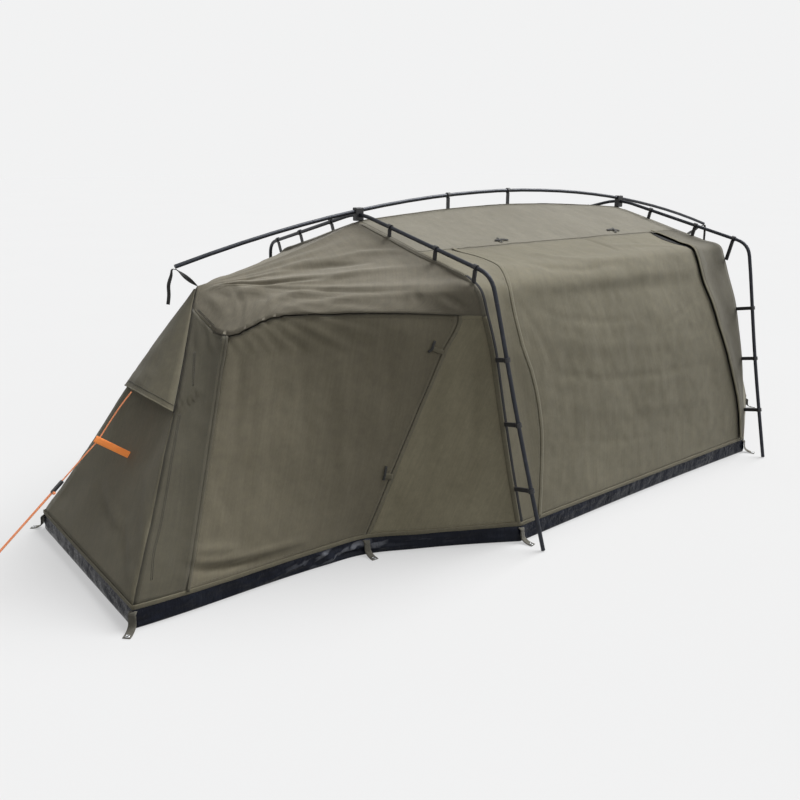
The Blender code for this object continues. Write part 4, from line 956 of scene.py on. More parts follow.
def cloth_uv(grid):
    """Distances along the cloth, column by column and row by row."""
    uv = np.zeros(grid.shape[:2] + (2,))
    uv[1:, :, 0] = np.cumsum(np.linalg.norm(np.diff(grid, axis=0), axis=-1), axis=0)
    uv[:, 1:, 1] = np.cumsum(np.linalg.norm(np.diff(grid, axis=1), axis=-1), axis=1)
    return [[tuple(spot) for spot in column] for column in uv.tolist()]


def build_fine_skin():
    skin = FineSkin()
    both = ("near", "far")

    def add(panel, grid, cols, rows, zone, sides=("near",)):
        part = grid[cols[0]:cols[1] + 1, rows[0]:rows[1] + 1]
        uv = cloth_uv(part)
        for side in sides:
            placed = pitched(part if side == "near" else part * (1, -1, 1))
            name = panel % side if "%s" in panel else panel
            skin.paths[name, side] = skin.grid(name, placed, uv, side == "far", zone)

    grid, c, r = fine_grid([vestibule_column(k) for k in range(HOOP_COLUMN + 1)], ROW_STEPS)
    low, door, left, hinge = r[BASE_ROW], r[DOOR_TOP_ROW], c[DOOR_LEFT_COLUMN], c[DOOR_HINGE_COLUMN]
    add("vestibule_roof", grid, (0, c[-1]), (0, door), "vest", both)
    add("vestibule_storm_flap", grid, (0, left), (door, low), "vest")
    add("vestibule_door", grid, (left, hinge), (door, low), "vest")
    add("vestibule_side_near", grid, (hinge, c[-1]), (door, low), "vest")
    add("vestibule_wall_far", grid, (0, c[-1]), (door, low), "vest", ("far",))
    grid, c, r = fine_grid([bay_column(k) for k in range(BAY_COLUMNS + 1)], ROW_STEPS)
    seam, low = r[SEAM_ROW], r[BASE_ROW]
    add("main_roof", grid, (0, c[-1]), (0, seam), "bay", both)
    add("front_flap_%s", grid, (0, c[1]), (seam, low), "bay", both)
    add("main_door_%s", grid, (c[1], c[-2]), (seam, low), "bay", both)
    add("rear_flap_%s", grid, (c[-2], c[-1]), (seam, low), "bay", both)
    grid, c, r = fine_grid([head_column(share) for share in HEAD_COLUMN_SHARES], ROW_STEPS)
    add("head_shell", grid, (0, c[-1]), (0, r[-1]), "head", both)
    for end in ENDS:
        name = end + "_end_panel"
        grid, _, _ = fine_grid(end_face_columns(end), ROW_STEPS)
        skin.paths[name, "near"] = skin.grid(name, pitched(grid), cloth_uv(grid), end == "foot", end + "_end")
    skin.points = np.array(skin.points)
    return skin


def face_arrays(faces):
    """Quads as an index array; a triangle repeats its last corner."""
    return np.array([f if len(f) == 4 else f + [f[-1]] for f in faces])


def point_normals(points, quads):
    a, b, c, d = (points[quads[:, k]] for k in range(4))
    normals = np.cross(c - a, d - b)
    thin = quads[:, 2] == quads[:, 3]
    normals[thin] = np.cross(b - a, c - a)[thin]
    total = np.zeros_like(points)
    for k in range(4):
        np.add.at(total, quads[:, k], normals)
    return total / np.maximum(np.linalg.norm(total, axis=1), 1e-12)[:, None]


def line_distance(points, line):
    """Distance of each point from a polyline, and the share of the line it lies at."""
    best = np.full(len(points), 1e9)
    share = np.zeros(len(points))
    lengths = [np.linalg.norm(b - a) for a, b in zip(line, line[1:])]
    total = sum(lengths)
    walked = 0.0
    for a, b, length in zip(line, line[1:], lengths):
        if length < 1e-9:
            continue
        t = np.clip(((points - a) @ (b - a)) / length ** 2, 0, 1)
        gap = np.linalg.norm(points - (a + t[:, None] * (b - a)), axis=1)
        closer = gap < best
        best[closer] = gap[closer]
        share[closer] = ((walked + t * length) / total)[closer]
        walked += length
    return best, share


# Folds read off the photograph, by zone: height in metres (a minus is a crease), width, then points
# of the picture along it. The far side takes the same folds, mirrored.
FOLDS = {
    "vest": (
        (-0.005, 0.009, ((199, 287), (226, 289), (249, 291), (283, 291), (318, 290), (360, 290), (410, 289),
                         (464, 288))),
        (-0.008, 0.014, ((200, 285), (222, 287), (237, 287), (260, 284), (290, 281), (330, 277))),
        (0.007, 0.018, ((202, 282), (226, 284), (250, 281), (277, 272), (306, 263), (360, 253), (410, 249))),
        (-0.007, 0.014, ((240, 281), (262, 276), (283, 271), (305, 268), (329, 265), (372, 262))),
        (0.006, 0.014, ((205, 286), (232, 289), (262, 287), (290, 283), (329, 278), (360, 271), (420, 266))),
        (0.007, 0.012, ((246, 320), (258, 310), (276, 299), (304, 291), (340, 287))),
        (-0.005, 0.009, ((203, 289), (222, 294), (240, 297), (262, 297), (290, 294))),
        (0.004, 0.010, ((202, 292), (216, 303), (228, 314), (236, 321))),
        (0.005, 0.013, ((243, 318), (266, 311), (306, 305), (352, 296), (400, 294))),
        (-0.005, 0.012, ((280, 301), (318, 297), (356, 293), (402, 292))),
        (-0.005, 0.010, ((444, 296), (456, 302), (467, 309))),
        (0.004, 0.014, ((437, 300), (448, 306), (460, 312))),
        (-0.004, 0.012, ((416, 292), (417, 302))),
        (-0.005, 0.012, ((183, 406), (192, 399), (202, 392))),
        (0.008, 0.009, ((175, 411), (184, 402), (193, 395), (202, 388))),
        (-0.010, 0.009, ((186, 567), (198, 570.5), (224, 568), (253, 561.5), (279, 555), (300, 549))),
        (0.008, 0.009, ((186, 558), (206, 562), (230, 560), (258, 553.5), (285, 546), (306, 540))),
        (-0.005, 0.012, ((196, 569), (220, 566), (240, 563), (262, 559))),
        (0.005, 0.014, ((187, 552), (210, 550), (236, 548))),
        (-0.0015, 0.016, ((214, 470), (224, 500), (232, 530))),
        (-0.004, 0.018, ((240, 340), (238, 400), (232, 460))),
        (0.003, 0.022, ((262, 335), (262, 400), (258, 470), (252, 540))),
        (-0.002, 0.022, ((300, 330), (304, 400), (306, 480))),
        (0.003, 0.028, ((338, 330), (344, 400), (345, 480), (340, 530))),
        (-0.003, 0.020, ((382, 330), (390, 380), (388, 440))),
        (-0.005, 0.012, ((448, 369), (436, 392), (424, 418), (414, 440))),
        (0.004, 0.014, ((440, 362), (428, 384), (416, 404))),
        (-0.004, 0.014, ((392, 488), (396, 508), (392, 526))),
        (0.004, 0.018, ((452, 380), (446, 430), (436, 480), (430, 524))),
        (-0.004, 0.016, ((474, 350), (474, 420), (466, 490))),
    ),
    "foot_end": (
        (0.006, 0.008, ((117, 464), (111, 482), (109, 498), (114, 514), (127, 534))),
        (0.006, 0.008, ((136, 522), (132, 545), (129, 566), (134, 596))),
        (-0.006, 0.014, ((98, 480), (102, 505), (114, 532))),
        (-0.005, 0.014, ((124, 510), (122, 545), (124, 580))),
        (-0.004, 0.018, ((72, 478), (66, 492), (56, 506))),
        (0.006, 0.018, ((148, 470), (146, 510), (143, 560))),
    ),
    "bay": (
        (-0.005, 0.011, ((580, 238), (592, 241), (604, 245), (618, 251))),
        (0.005, 0.014, ((610, 246), (645, 245), (680, 246))),
        (0.003, 0.022, ((548, 288), (600, 280), (647, 274), (696, 270))),
        (-0.0015, 0.020, ((520, 296), (560, 294), (600, 291), (650, 287), (700, 284))),
        (-0.004, 0.016, ((520, 262), (548, 268), (580, 270), (620, 264))),
        (0.004, 0.018, ((524, 252), (556, 258), (590, 260), (640, 256))),
        (-0.0018, 0.014, ((530, 306), (560, 318), (600, 322), (650, 318))),
        (0.0022, 0.028, ((540, 336), (590, 346), (650, 344), (706, 336))),
        (-0.0016, 0.014, ((548, 372), (600, 380), (660, 374), (716, 362))),
        (0.0018, 0.028, ((556, 404), (610, 412), (670, 404), (728, 392))),
        (-0.0015, 0.014, ((566, 440), (620, 442), (680, 430))),
        (-0.0015, 0.014, ((516, 300), (536, 330), (552, 364))),
        (-0.003, 0.012, ((700, 292), (684, 312), (664, 326))),
    ),
}


def raised_points(skin, normals, quads):
    """The skin with its folds and soft wrinkles."""
    tree = BVHTree.FromPolygons([Vector(p) for p in skin.points], quads.tolist())
    points = skin.points
    near = points.copy()
    near[:, 1] = -np.abs(near[:, 1])
    zones = np.array(skin.zone)
    lift = np.zeros(len(points))
    folds = [(zone, *fold) for zone, rows in FOLDS.items() for fold in rows]
    for zone, height, width, pixels in folds:
        line = []
        for px, py in pixels:
            start, aim = view_ray(px, py)
            hit = tree.ray_cast(start, aim)[0]
            if hit is not None:
                line.append(np.array(hit))
        if len(line) < 2:
            continue
        source = points if zone.endswith("end") else near
        gap, share = line_distance(source, line)
        taper = np.sin(np.pi * np.clip(share, 0.02, 0.98)) ** 0.6
        fold = height * np.exp(-(gap / width) ** 2 * 1.6) * taper
        lift += np.where(zones == zone, fold, 0)
    soft = np.array([
        noise.noise(Vector((p[0] * 7.0, p[1] * 9.0 + 11.3, p[2] * 6.0)))
        + 0.5 * noise.noise(Vector((p[0] * 17.0 + 4.1, p[1] * 17.0, p[2] * 13.0)))
        + 0.35 * noise.noise(Vector((p[0] * 38.0, p[1] * 38.0 + 7.7, p[2] * 30.0))) for p in points])
    lift += soft * WRINKLE
    ray = np.arctan2(near[:, 2] - FOOT_PEAK_Z + 0.35 * near[:, 1], near[:, 0] - (FOOT_X + FOOT_PEAK_BACK))
    far_off = np.hypot(near[:, 0] - (FOOT_X + FOOT_PEAK_BACK), near[:, 1])
    gather = np.sin(46 * ray + 3 * far_off) + 0.7 * np.sin(83 * ray + 1.7 - 4 * far_off)
    reach = smooth_share(far_off, 0.02, 0.12) * (1 - smooth_share(far_off, 0.30, 0.62))
    on_roof = (zones == "vest") & (near[:, 2] > GATHER_FROM)
    lift += np.where(on_roof, gather * reach * GATHER, 0)
    lift *= 0.35 + 0.65 * smooth_share(np.abs(points[:, 1]), 0.0, 0.05)
    lift *= np.where(on_roof & (points[:, 1] > 0), 0.5, 1.0)
    height = points[:, 2]
    quiet = smooth_share(height, TUB_HEIGHT, TUB_HEIGHT + 0.035)
    for start, lean in HOOPS.values():
        away = np.abs(points[:, 0] - (start + lean * height))
        quiet *= smooth_share(away, 0.004, 0.045)
    edge = np.hypot(points[:, 0] - (FOOT_X + FOOT_PEAK_BACK), height - FOOT_PEAK_Z)
    quiet *= smooth_share(edge, 0.0, 0.05)
    lift = np.clip(lift * quiet, LIFT_LEAST, LIFT_MOST)
    return points + normals * lift[:, None]


def panel_border(faces):
    edges = {}
    for face in faces:
        for k, i in enumerate(face):
            edges[(i, face[(k + 1) % len(face)])] = True
    return [pair for pair in edges if pair[::-1] not in edges]


def cloth_panel(name, skin, points, normals, look, body, shift):
    """One panel as cloth of even thickness, with its distance from the cut edge kept for stitching."""
    faces = skin.panels[name]
    used = sorted({i for face in faces for i in face})
    local = {i: k for k, i in enumerate(used)}
    outer = points[used] + shift[used]
    inner = outer - normals[used] * SHEET_T
    count = len(used)
    rings = [[local[i] for i in face] for face in faces]
    rings += [[i + count for i in ring[::-1]] for ring in rings]
    border = panel_border(faces)
    rings += [[local[j], local[i], local[i] + count, local[j] + count] for i, j in border]
    uvs = [skin.uv[i] for i in used] * 2
    obj = put(name + "_cloth", np.concatenate([outer, inner]), rings, look, body, uvs=uvs)
    rim = kd_tree(points[sorted({i for pair in border for i in pair})])
    vertex_layer(obj, "edge", [rim.find(points[i])[2] for i in used] * 2)
    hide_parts(name)
    return obj


# Trim that lies on the canvas

class Surface:
    """Finds the nearest place on a set of faces, with its outward direction."""

    def __init__(self, points, faces):
        self.tree = BVHTree.FromPolygons([Vector(p) for p in points], faces)

    def near(self, p):
        place, normal, _, _ = self.tree.find_nearest(p)
        return place, normal

    def seen(self, px, py):
        start, aim = view_ray(px, py)
        return self.tree.ray_cast(start, aim)[0]


def photo_line(surface, pixels, step):
    """A line of the photograph laid on the canvas."""
    found = [surface.seen(px, py) for px, py in pixels]
    return resampled(smooth_curve([p for p in found if p is not None], 6), step)


def hem(name, line, surface, toward, kind, look="canvas", body="swag", widths=None, rows=6):
    """A band of cloth along a line, with its section from BANDS; toward is the way from behind to ahead."""
    reach, lift, thick = BANDS[kind]
    normals = [n.normalized() for n in evened([surface.near(p)[1] for p in line])]
    aheads = evened([ahead_at(line, i) for i in range(len(line))])
    sections = []
    for i, (p, along) in enumerate(zip(line, distances(line))):
        across = normals[i].cross(aheads[i].normalized()).normalized()
        across = across if across.dot(Vector(toward)) > 0 else -across
        scale = 1.0 if widths is None else float(np.interp(i / (len(line) - 1), *zip(*widths)))
        top, low, spots = [], [], []
        for k in range(rows):
            t = k / (rows - 1)
            shift = mix(-reach[0], reach[1] * scale, t)
            q, n = surface.near(p + across * shift)
            if (q - (p + across * shift)).length > HEM_SNAP:
                q, n = p + across * shift, normals[i]
            n = (n + normals[i]).normalized()
            rise = mix(lift[0], lift[1], t * t)
            edge = 1 - 0.5 * abs(2 * t - 1) ** 3
            top.append(q + n * (rise + thick * edge))
            low.append(q + n * rise)
            spots.append((along, shift))
        sections.append((top, low, spots))
    obj = flat_band(name, sections, look, body)
    vertex_layer(obj, "edge", [HEM_EDGE] * len(obj.data.vertices))
    face_outwards(obj)
    return obj


# The canvas

def free_edge_lift(normals, points, edge_ids, quiet_ids, height, reach):
    """Stands a flap's free edge off what lies under it."""
    shift = np.zeros_like(points)
    tree, calm = kd_tree(points[edge_ids]), kd_tree(points[quiet_ids])
    box_low = points[edge_ids].min(axis=0) - 3 * reach
    box_high = points[edge_ids].max(axis=0) + 3 * reach
    inside = np.all((points >= box_low) & (points <= box_high), axis=1)
    outward = [np.array(n.normalized()) for n in evened([Vector(normals[i]) for i in edge_ids], 8)]
    for i in np.nonzero(inside)[0]:
        _, beside, gap = tree.find(points[i])
        fade = min(calm.find(points[i])[2] / LIFT_FADE, 1.0)
        fade *= min(max(points[i][2] - TUB_HEIGHT, 0) / LIFT_FADE, 1.0)
        shift[i] = outward[beside] * height * math.exp(-(gap / reach) ** 2) * fade
    return shift


def free_edges(skin):
    """For each flap that stands off: its free edge, its held edge and its lift."""
    flaps = {}
    for side in ("near", "far"):
        front = skin.paths["front_flap_" + side, side]
        rear = skin.paths["rear_flap_" + side, side]
        flaps["front_flap_" + side] = (front[-1], [c[0] for c in front], *FLAP_LIFTS["front_flap"])
        flaps["rear_flap_" + side] = (rear[0], [c[0] for c in rear], *FLAP_LIFTS["rear_flap"])
    storm = skin.paths["vestibule_storm_flap", "near"]
    name = "vestibule_storm_flap"
    flaps[name] = (storm[-1], [c[0] for c in storm[:-3]], *FLAP_LIFTS[name])
    left = len(storm) - 1
    right = left + len(skin.paths["vestibule_door", "near"]) - 1
    name = "vestibule_roof"
    edge = [c[-1] for c in skin.paths[name, "near"]]
    flaps[name] = (edge[left:right + 1], edge[:left - 4] + edge[right + 5:], *FLAP_LIFTS[name])
    return flaps


def make_canvas():
    """The panels as cloths; gives the skin, its points, a surface to lay trim on and the cloths."""
    skin = build_fine_skin()
    every = [face for faces in skin.panels.values() for face in faces]
    quads = face_arrays(every)
    points = raised_points(skin, point_normals(skin.points, quads), quads)
    normals = point_normals(points, quads)
    flaps = free_edges(skin)
    cloths = {}
    for name, (body, look, *_) in PANELS.items():
        shift = np.zeros_like(points)
        if name in flaps:
            shift = free_edge_lift(normals, points, *flaps[name])
        if body != "swag":
            columns = skin.paths[name, "far" if name.endswith("far") else "near"]
            hinge = zip(columns[-1], columns[-2]) if body == "vestibule_flap" else [c[:2] for c in columns]
            for edge, inner in hinge:
                away = points[inner] - points[edge]
                shift[edge] += away / np.linalg.norm(away) * HINGE_DRAW
        cloths[name] = cloth_panel(name, skin, points, normals, look, body, shift)
    return skin, points, Surface(points, every), cloths


def make_trim(skin, points, surface, cloths):
    """Seam tapes, hems, zips, the edges of the flaps and dark bands of painted shadow; gives them by the
    cloth that they belong to.
    """
    trims = {name: [] for name in cloths}
    on = {name: Surface(points, skin.panels[name]) for name in cloths}
    ahead, back = (1, 0, 0), (-1, 0, 0)

    def along(ids):
        return resampled([Vector(points[i]) for i in ids], TRIM_STEP)

    def band(owner, kind, tail, line, toward, look="canvas", over=None, body="swag", widths=None):
        trims[owner].append(hem(kind + tail, line, over or on[owner], toward, kind, look, body, widths))

    for side in ("near", "far"):
        front, rear, roof, vest, shell = (skin.paths[name, side] for name in (
            "front_flap_" + side, "rear_flap_" + side, "main_roof", "vestibule_roof", "head_shell"))
        tail = "_" + side
        band("front_flap" + tail, "front_flap_edge", tail, along(front[-1]), ahead, over=surface)
        # Black band along the front flap's held edge: the zip tape, and painted shadow of the gap by the hoop
        band("front_flap" + tail, "front_zip_and_shadow", tail, along(front[0][ZIP_START:]), ahead, "mesh")
        band("rear_flap" + tail, "rear_flap_edge", tail, along(rear[0]), back, over=surface)
        # A dark band of insect mesh under the rear flap's edge: painted shadow in the gap, widest near the
        # top
        band("main_door" + tail, "crescent_painted_shadow", tail, along(rear[0]), back, "mesh",
             body=side + "_door", widths=CRESCENT_SHADOW_WIDTHS)
        band("main_roof", "eave_tape", tail, along([c[-1] for c in roof]), (0, 0, 1), "roof_canvas")
        band("vestibule_roof", "hoop_seam_roof", tail, along(vest[-1][3:]), back, "roof_canvas")
        band("head_shell", "hoop_seam_head", tail, along(shell[0][3:]), ahead)
        band("head_shell", "head_edge", tail, along(shell[-1][3:]), back)
    ridge = [c[0] for c in skin.paths["main_roof", "near"]]
    band("main_roof", "ridge_piping", "", along(ridge), (0, 1, 0), "roof_canvas", surface)
    for wall, side in (("vestibule_side_near", "near"), ("vestibule_wall_far", "far")):
        band(wall, "mid_hoop_hem", "_" + side, along(skin.paths[wall, side][-1]), back)
    wall, storm = skin.paths["vestibule_side_near", "near"], skin.paths["vestibule_storm_flap", "near"]
    band("vestibule_side_near", "hinge_band", "", along(wall[0]), ahead, "hem")
    band("vestibule_storm_flap", "storm_flap_edge", "", along(storm[-1]), ahead, "shade")
    for name, pixels in SEAM_LINES:
        for shift, part in ((-SEAM_HALF, "_a"), (SEAM_HALF, "_b")):
            line = [p + Vector((shift, 0, 0)) for p in photo_line(surface, pixels, 0.006)]
            trims["vestibule_storm_flap"].append(
                hem(name + part, line, surface, ahead, "stitching", "thread"))
    return trims


def grid_sheet(name, grid, uv, outward, thick, look):
    """A grid of points as a sheet of even thickness; gives its outer faces too."""
    wide, tall = grid.shape[:2]
    flat = grid.reshape(-1, 3)
    faces = [[a, a + 1, a + tall + 1, a + tall] for i in range(wide - 1)
             for a in range(i * tall, i * tall + tall - 1)]
    a, b, c, d = (flat[k] for k in faces[len(faces) // 2])
    if float(np.dot(np.cross(c - a, d - b), outward)) < 0:
        faces = [f[::-1] for f in faces]
    normals = point_normals(flat, face_arrays(faces))
    count = len(flat)
    rings = faces + [[i + count for i in f[::-1]] for f in faces]
    rings += [[j, i, i + count, j + count] for i, j in panel_border(faces)]
    return put(name, np.concatenate([flat, flat - normals * thick]), rings, look, uvs=uv * 2), faces


def make_hood():
    """The vent's hood: a bowed sheet over a panel of insect mesh."""
    columns = [column[1:HOOD_LAST_ROW + 1] for column in end_face_columns("foot")]
    grid, _, _ = fine_grid(columns, ROW_STEPS[1:HOOD_LAST_ROW])
    top, foot = FOOT_ROW_SHARES[1][1], FOOT_ROW_SHARES[HOOD_LAST_ROW][1]
    slope = np.array(Vector((TUB_HEIGHT - FOOT_PEAK_Z, 0, FOOT_PEAK_BACK)).normalized())
    wide, tall = grid.shape[:2]
    sheet = np.empty_like(grid)
    for i, j in np.ndindex(wide, tall):
        across = 2 * i / (wide - 1) - 1
        z_share = (grid[i, j, 2] - TUB_HEIGHT) / (FOOT_PEAK_Z - TUB_HEIGHT)
        reach = (top - z_share) / (top - foot)
        rise = HOOD_SEAT + HOOD_RISE * reach * (1 - across * across)
        p = Vector(grid[i, j])
        crumple = noise.noise(p * 22 + Vector((3, 1, 7))) + 0.6 * noise.noise(p * 45)
        fold = HOOD_FOLD * math.sin(9 * math.pi * (across * 0.5 + 0.5)) * reach
        rise += (crumple * HOOD_FOLD + fold) * reach * (1 - across * across)
        sheet[i, j] = grid[i, j] + slope * (rise + CANVAS_T)
    sheet = pitched(sheet)
    uv = [spot for column in cloth_uv(grid) for spot in column]
    hood, faces = grid_sheet("vent_hood_cloth", sheet, uv, slope, SHEET_T, "canvas")
    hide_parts("vent_hood")
    vent, _ = grid_sheet("vent_mesh", pitched(grid + slope * 0.0012), uv, slope, 0.0005, "mesh")
    surface = Surface(sheet.reshape(-1, 3), faces)
    low, band = (resampled([Vector(p) for p in sheet[:, tall - row]], 0.008) for row in (1, 4))
    return hood, vent, [hem("hood_edge", low, surface, (0, 0, -1), "hood_edge"),
                        hem("hood_stitching", band, surface, (0, 1, 0), "stitching", "thread")]


# The floor tub, its loops and the mattress

def base_line(skin, points):
    """The canvas's foot all round, with the share of the span between two peg loops at each point."""
    def foot(panels, side):
        line = []
        for panel in panels:
            line += [Vector(points[column[-1]]) for column in skin.paths[panel, side]][1 if line else 0:]
        return line

    near, spans = [], []
    for run in NEAR_RUNS:
        line = foot(run, "near")
        along = distances(line)
        first = 1 if near else 0
        near += line[first:]
        spans += [math.sin(math.pi * s / along[-1]) for s in along][first:]
    far = foot(FAR_RUN, "far")
    across = resampled([near[-1], far[-1]], TRIM_STEP)[1:-1]
    back = resampled([far[0], near[0]], TRIM_STEP)[1:-1]
    draws = spans + [0.0] * len(across) + spans[::-1] + [0.0] * len(back)
    return near + across + far[::-1] + back, draws


def ring_out(ring):
    """Outward level directions of a closed line seen from above, smoothed a little."""
    aheads = [ring[(i + 2) % len(ring)] - ring[i - 2] for i in range(len(ring))]
    return [Vector((ahead.y, -ahead.x, 0)).normalized() for ahead in aheads]


def crumpled(p, s, z):
    """How far the vinyl stands out at a point of the ring, and how strong the painted highlight is there."""
    wave = noise.noise(Vector((s * 16, z * 26, 2.3))) + 0.8 * noise.noise(Vector((s * 38, z * 50, 9.1)))
    wave += 0.5 * noise.noise(Vector((s * 90, z * 110, 4.4)))
    crush = abs(noise.noise(Vector((s * 11, z * 34, 6.1))))
    crush += 0.5 * abs(noise.noise(Vector((s * 27, z * 60, 3.7))))
    # Streaks of painted highlight across the crinkles, strongest by the waist
    painted_highlight_share = noise.noise(Vector((s * 13, (z - s * 0.22) * 62, 8.8)))
    painted_highlight_share += 0.7 * noise.noise(Vector((s * 44, (z - s * 0.5) * 110, 1.7)))
    waist = math.exp(-((p.x - WAIST_X) / 0.24) ** 2)
    painted_highlight_weight = math.exp(-((p.x - WAIST_X + 0.05) / 0.15) ** 2) + 0.12
    out = 0.0040 + 0.0030 * waist + wave * (0.0020 + 0.0030 * waist) - crush * (0.0060 + 0.0150 * waist)
    return out, painted_highlight_weight * smooth_share(painted_highlight_share, 0.08, 0.42)


def make_tub(skin, points):
    """The vinyl tub and the canvas hem that laps its top edge."""
    ring, draws = base_line(skin, points)
    outs, along = ring_out(ring), distances(ring)
    verts, uvs, painted_highlight, depth = [], [], [], 0.0
    for k, (out, z, loose) in enumerate(TUB_OUTSIDE):
        if k:
            depth += math.hypot(out - TUB_OUTSIDE[k - 1][0], z - TUB_OUTSIDE[k - 1][1])
        for i, p in enumerate(ring):
            stands, painted_highlight_share = crumpled(p, along[i], z)
            reach = out - TUB_DRAW * draws[i] * (1 - z / TUB_HEIGHT) + stands * loose
            verts.append(Vector((p.x, p.y, z)) + outs[i] * reach)
            uvs.append((along[i], depth))
            painted_highlight.append(painted_highlight_share * loose)
    for k, (out, z) in enumerate(TUB_INSIDE):
        for i, p in enumerate(ring):
            reach = out - TUB_DRAW * draws[i] * (1 - z / TUB_HEIGHT)
            verts.append(Vector((p.x, p.y, z)) + outs[i] * reach)
            uvs.append((along[i], -0.01 - 0.012 * k))
            painted_highlight.append(0.0)
    count, outer = len(ring), len(TUB_OUTSIDE)
    order = [k * count + i for k in [*range(outer)][::-1] + [*range(outer, outer + len(TUB_INSIDE))]
             for i in range(count)]
    faces = [[order[i] for i in face] for face in ring_faces(len(order) // count, count)]
    tub = put("floor_tub_vinyl", verts, faces, "tub_vinyl", uvs=uvs)
    face_outwards(tub)
    # Keeps the strength of the painted highlight at each point, for the vinyl's material
    vertex_layer(tub, "painted_highlight", painted_highlight)
    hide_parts("floor_tub")
    verts, uvs = [], []
    for i, p in enumerate(ring):
        flutter = HEM_FLUTTER * noise.noise(Vector((along[i] * 21, 0, 5.5)))
        for out, z in FOOT_HEM:
            hang = max(0, (0.056 - z) / 0.010)
            verts.append(Vector((p.x, p.y, z + flutter * hang * 2)) + outs[i] * (out + flutter * hang))
            uvs.append((along[i], z))
    skirt = put("canvas_foot_hem", verts, closed_faces(count, len(FOOT_HEM)), "canvas", uvs=uvs)
    face_outwards(skirt)
    vertex_layer(skirt, "edge", [HEM_EDGE] * len(verts))


def make_peg_loops():
    """Webbing loops at the ground, each closed with an eyelet."""
    for number, (x, half, lean, out_x, out_y) in enumerate(PEG_PLACES, 1):
        for side, turn in (("near", 1), ("far", -1)):
            start = Vector(pitched((x, -half * turn, TUB_HEIGHT)))
            level = Vector((start.x + lean * TUB_HEIGHT, start.y, 0))
            out = Vector((out_x, out_y * turn, 0)).normalized()
            line = [level + out * reach + Vector((0, 0, z)) for reach, z in LOOP_SIDE]
            line = resampled(smooth_curve(line, 5), 0.0035)
            strap("peg_loop_%s_%d" % (side, number), line, Vector((-out.y, out.x, 0)), LOOP_W, WEB_T, "loop")
            eyelet("peg_eyelet_%s_%d" % (side, number),
                   line[-1] - out * EYELET_BACK + Vector((0, 0, WEB_T / 2 + FIT)), EYELET_R)


def puffed(verts, faces, seams):
    """Swell a closed form with cloth under pressure, held along its seams; gives points and faces."""
    scene = bpy.context.scene
    mesh = bpy.data.meshes.new("puff")
    mesh.from_pydata(verts, [], faces)
    work = bpy.data.objects.new("puff", mesh)
    scene.collection.objects.link(work)
    remesh = work.modifiers.new("remesh", "REMESH")
    remesh.mode, remesh.voxel_size = "VOXEL", PUFF_VOXEL
    even = bpy.data.meshes.new_from_object(work.evaluated_get(bpy.context.evaluated_depsgraph_get()))
    work.modifiers.clear()
    work.data = even
    start = [v.co.copy() for v in even.vertices]
    pins = work.vertex_groups.new(name="seams")
    pins.add([i for i, p in enumerate(start) if seams(p)], 1.0, "REPLACE")
    cloth = work.modifiers.new("cloth", "CLOTH")
    cloth.settings.use_pressure = True
    cloth.settings.uniform_pressure_force = PUFF_PRESSURE
    cloth.settings.vertex_group_mass = "seams"
    cloth.settings.effector_weights.gravity = 0.0
    cloth.settings.quality = 5
    cloth.collision_settings.use_collision = False
    cloth.collision_settings.use_self_collision = False
    cloth.point_cache.frame_start, cloth.point_cache.frame_end = 1, PUFF_MOMENTS
    for moment in range(1, PUFF_MOMENTS + 1):
        scene.frame_set(moment)
    swollen = work.evaluated_get(bpy.context.evaluated_depsgraph_get()).data
    ends = []
    for a, v in zip(start, swollen.vertices):
        move = v.co - a
        ends.append(a + move * min(1.0, PUFF_CAP / max(move.length, 1e-9)))
    work.modifiers.clear()
    for v, place in zip(even.vertices, ends):
        v.co = place
    scene.frame_set(1)
    smooth = work.modifiers.new("smooth", "SUBSURF")
    smooth.levels = 1
    final = work.evaluated_get(bpy.context.evaluated_depsgraph_get()).data
    out = [v.co.copy() for v in final.vertices], [tuple(f.vertices) for f in final.polygons]
    bpy.data.objects.remove(work)
    return out


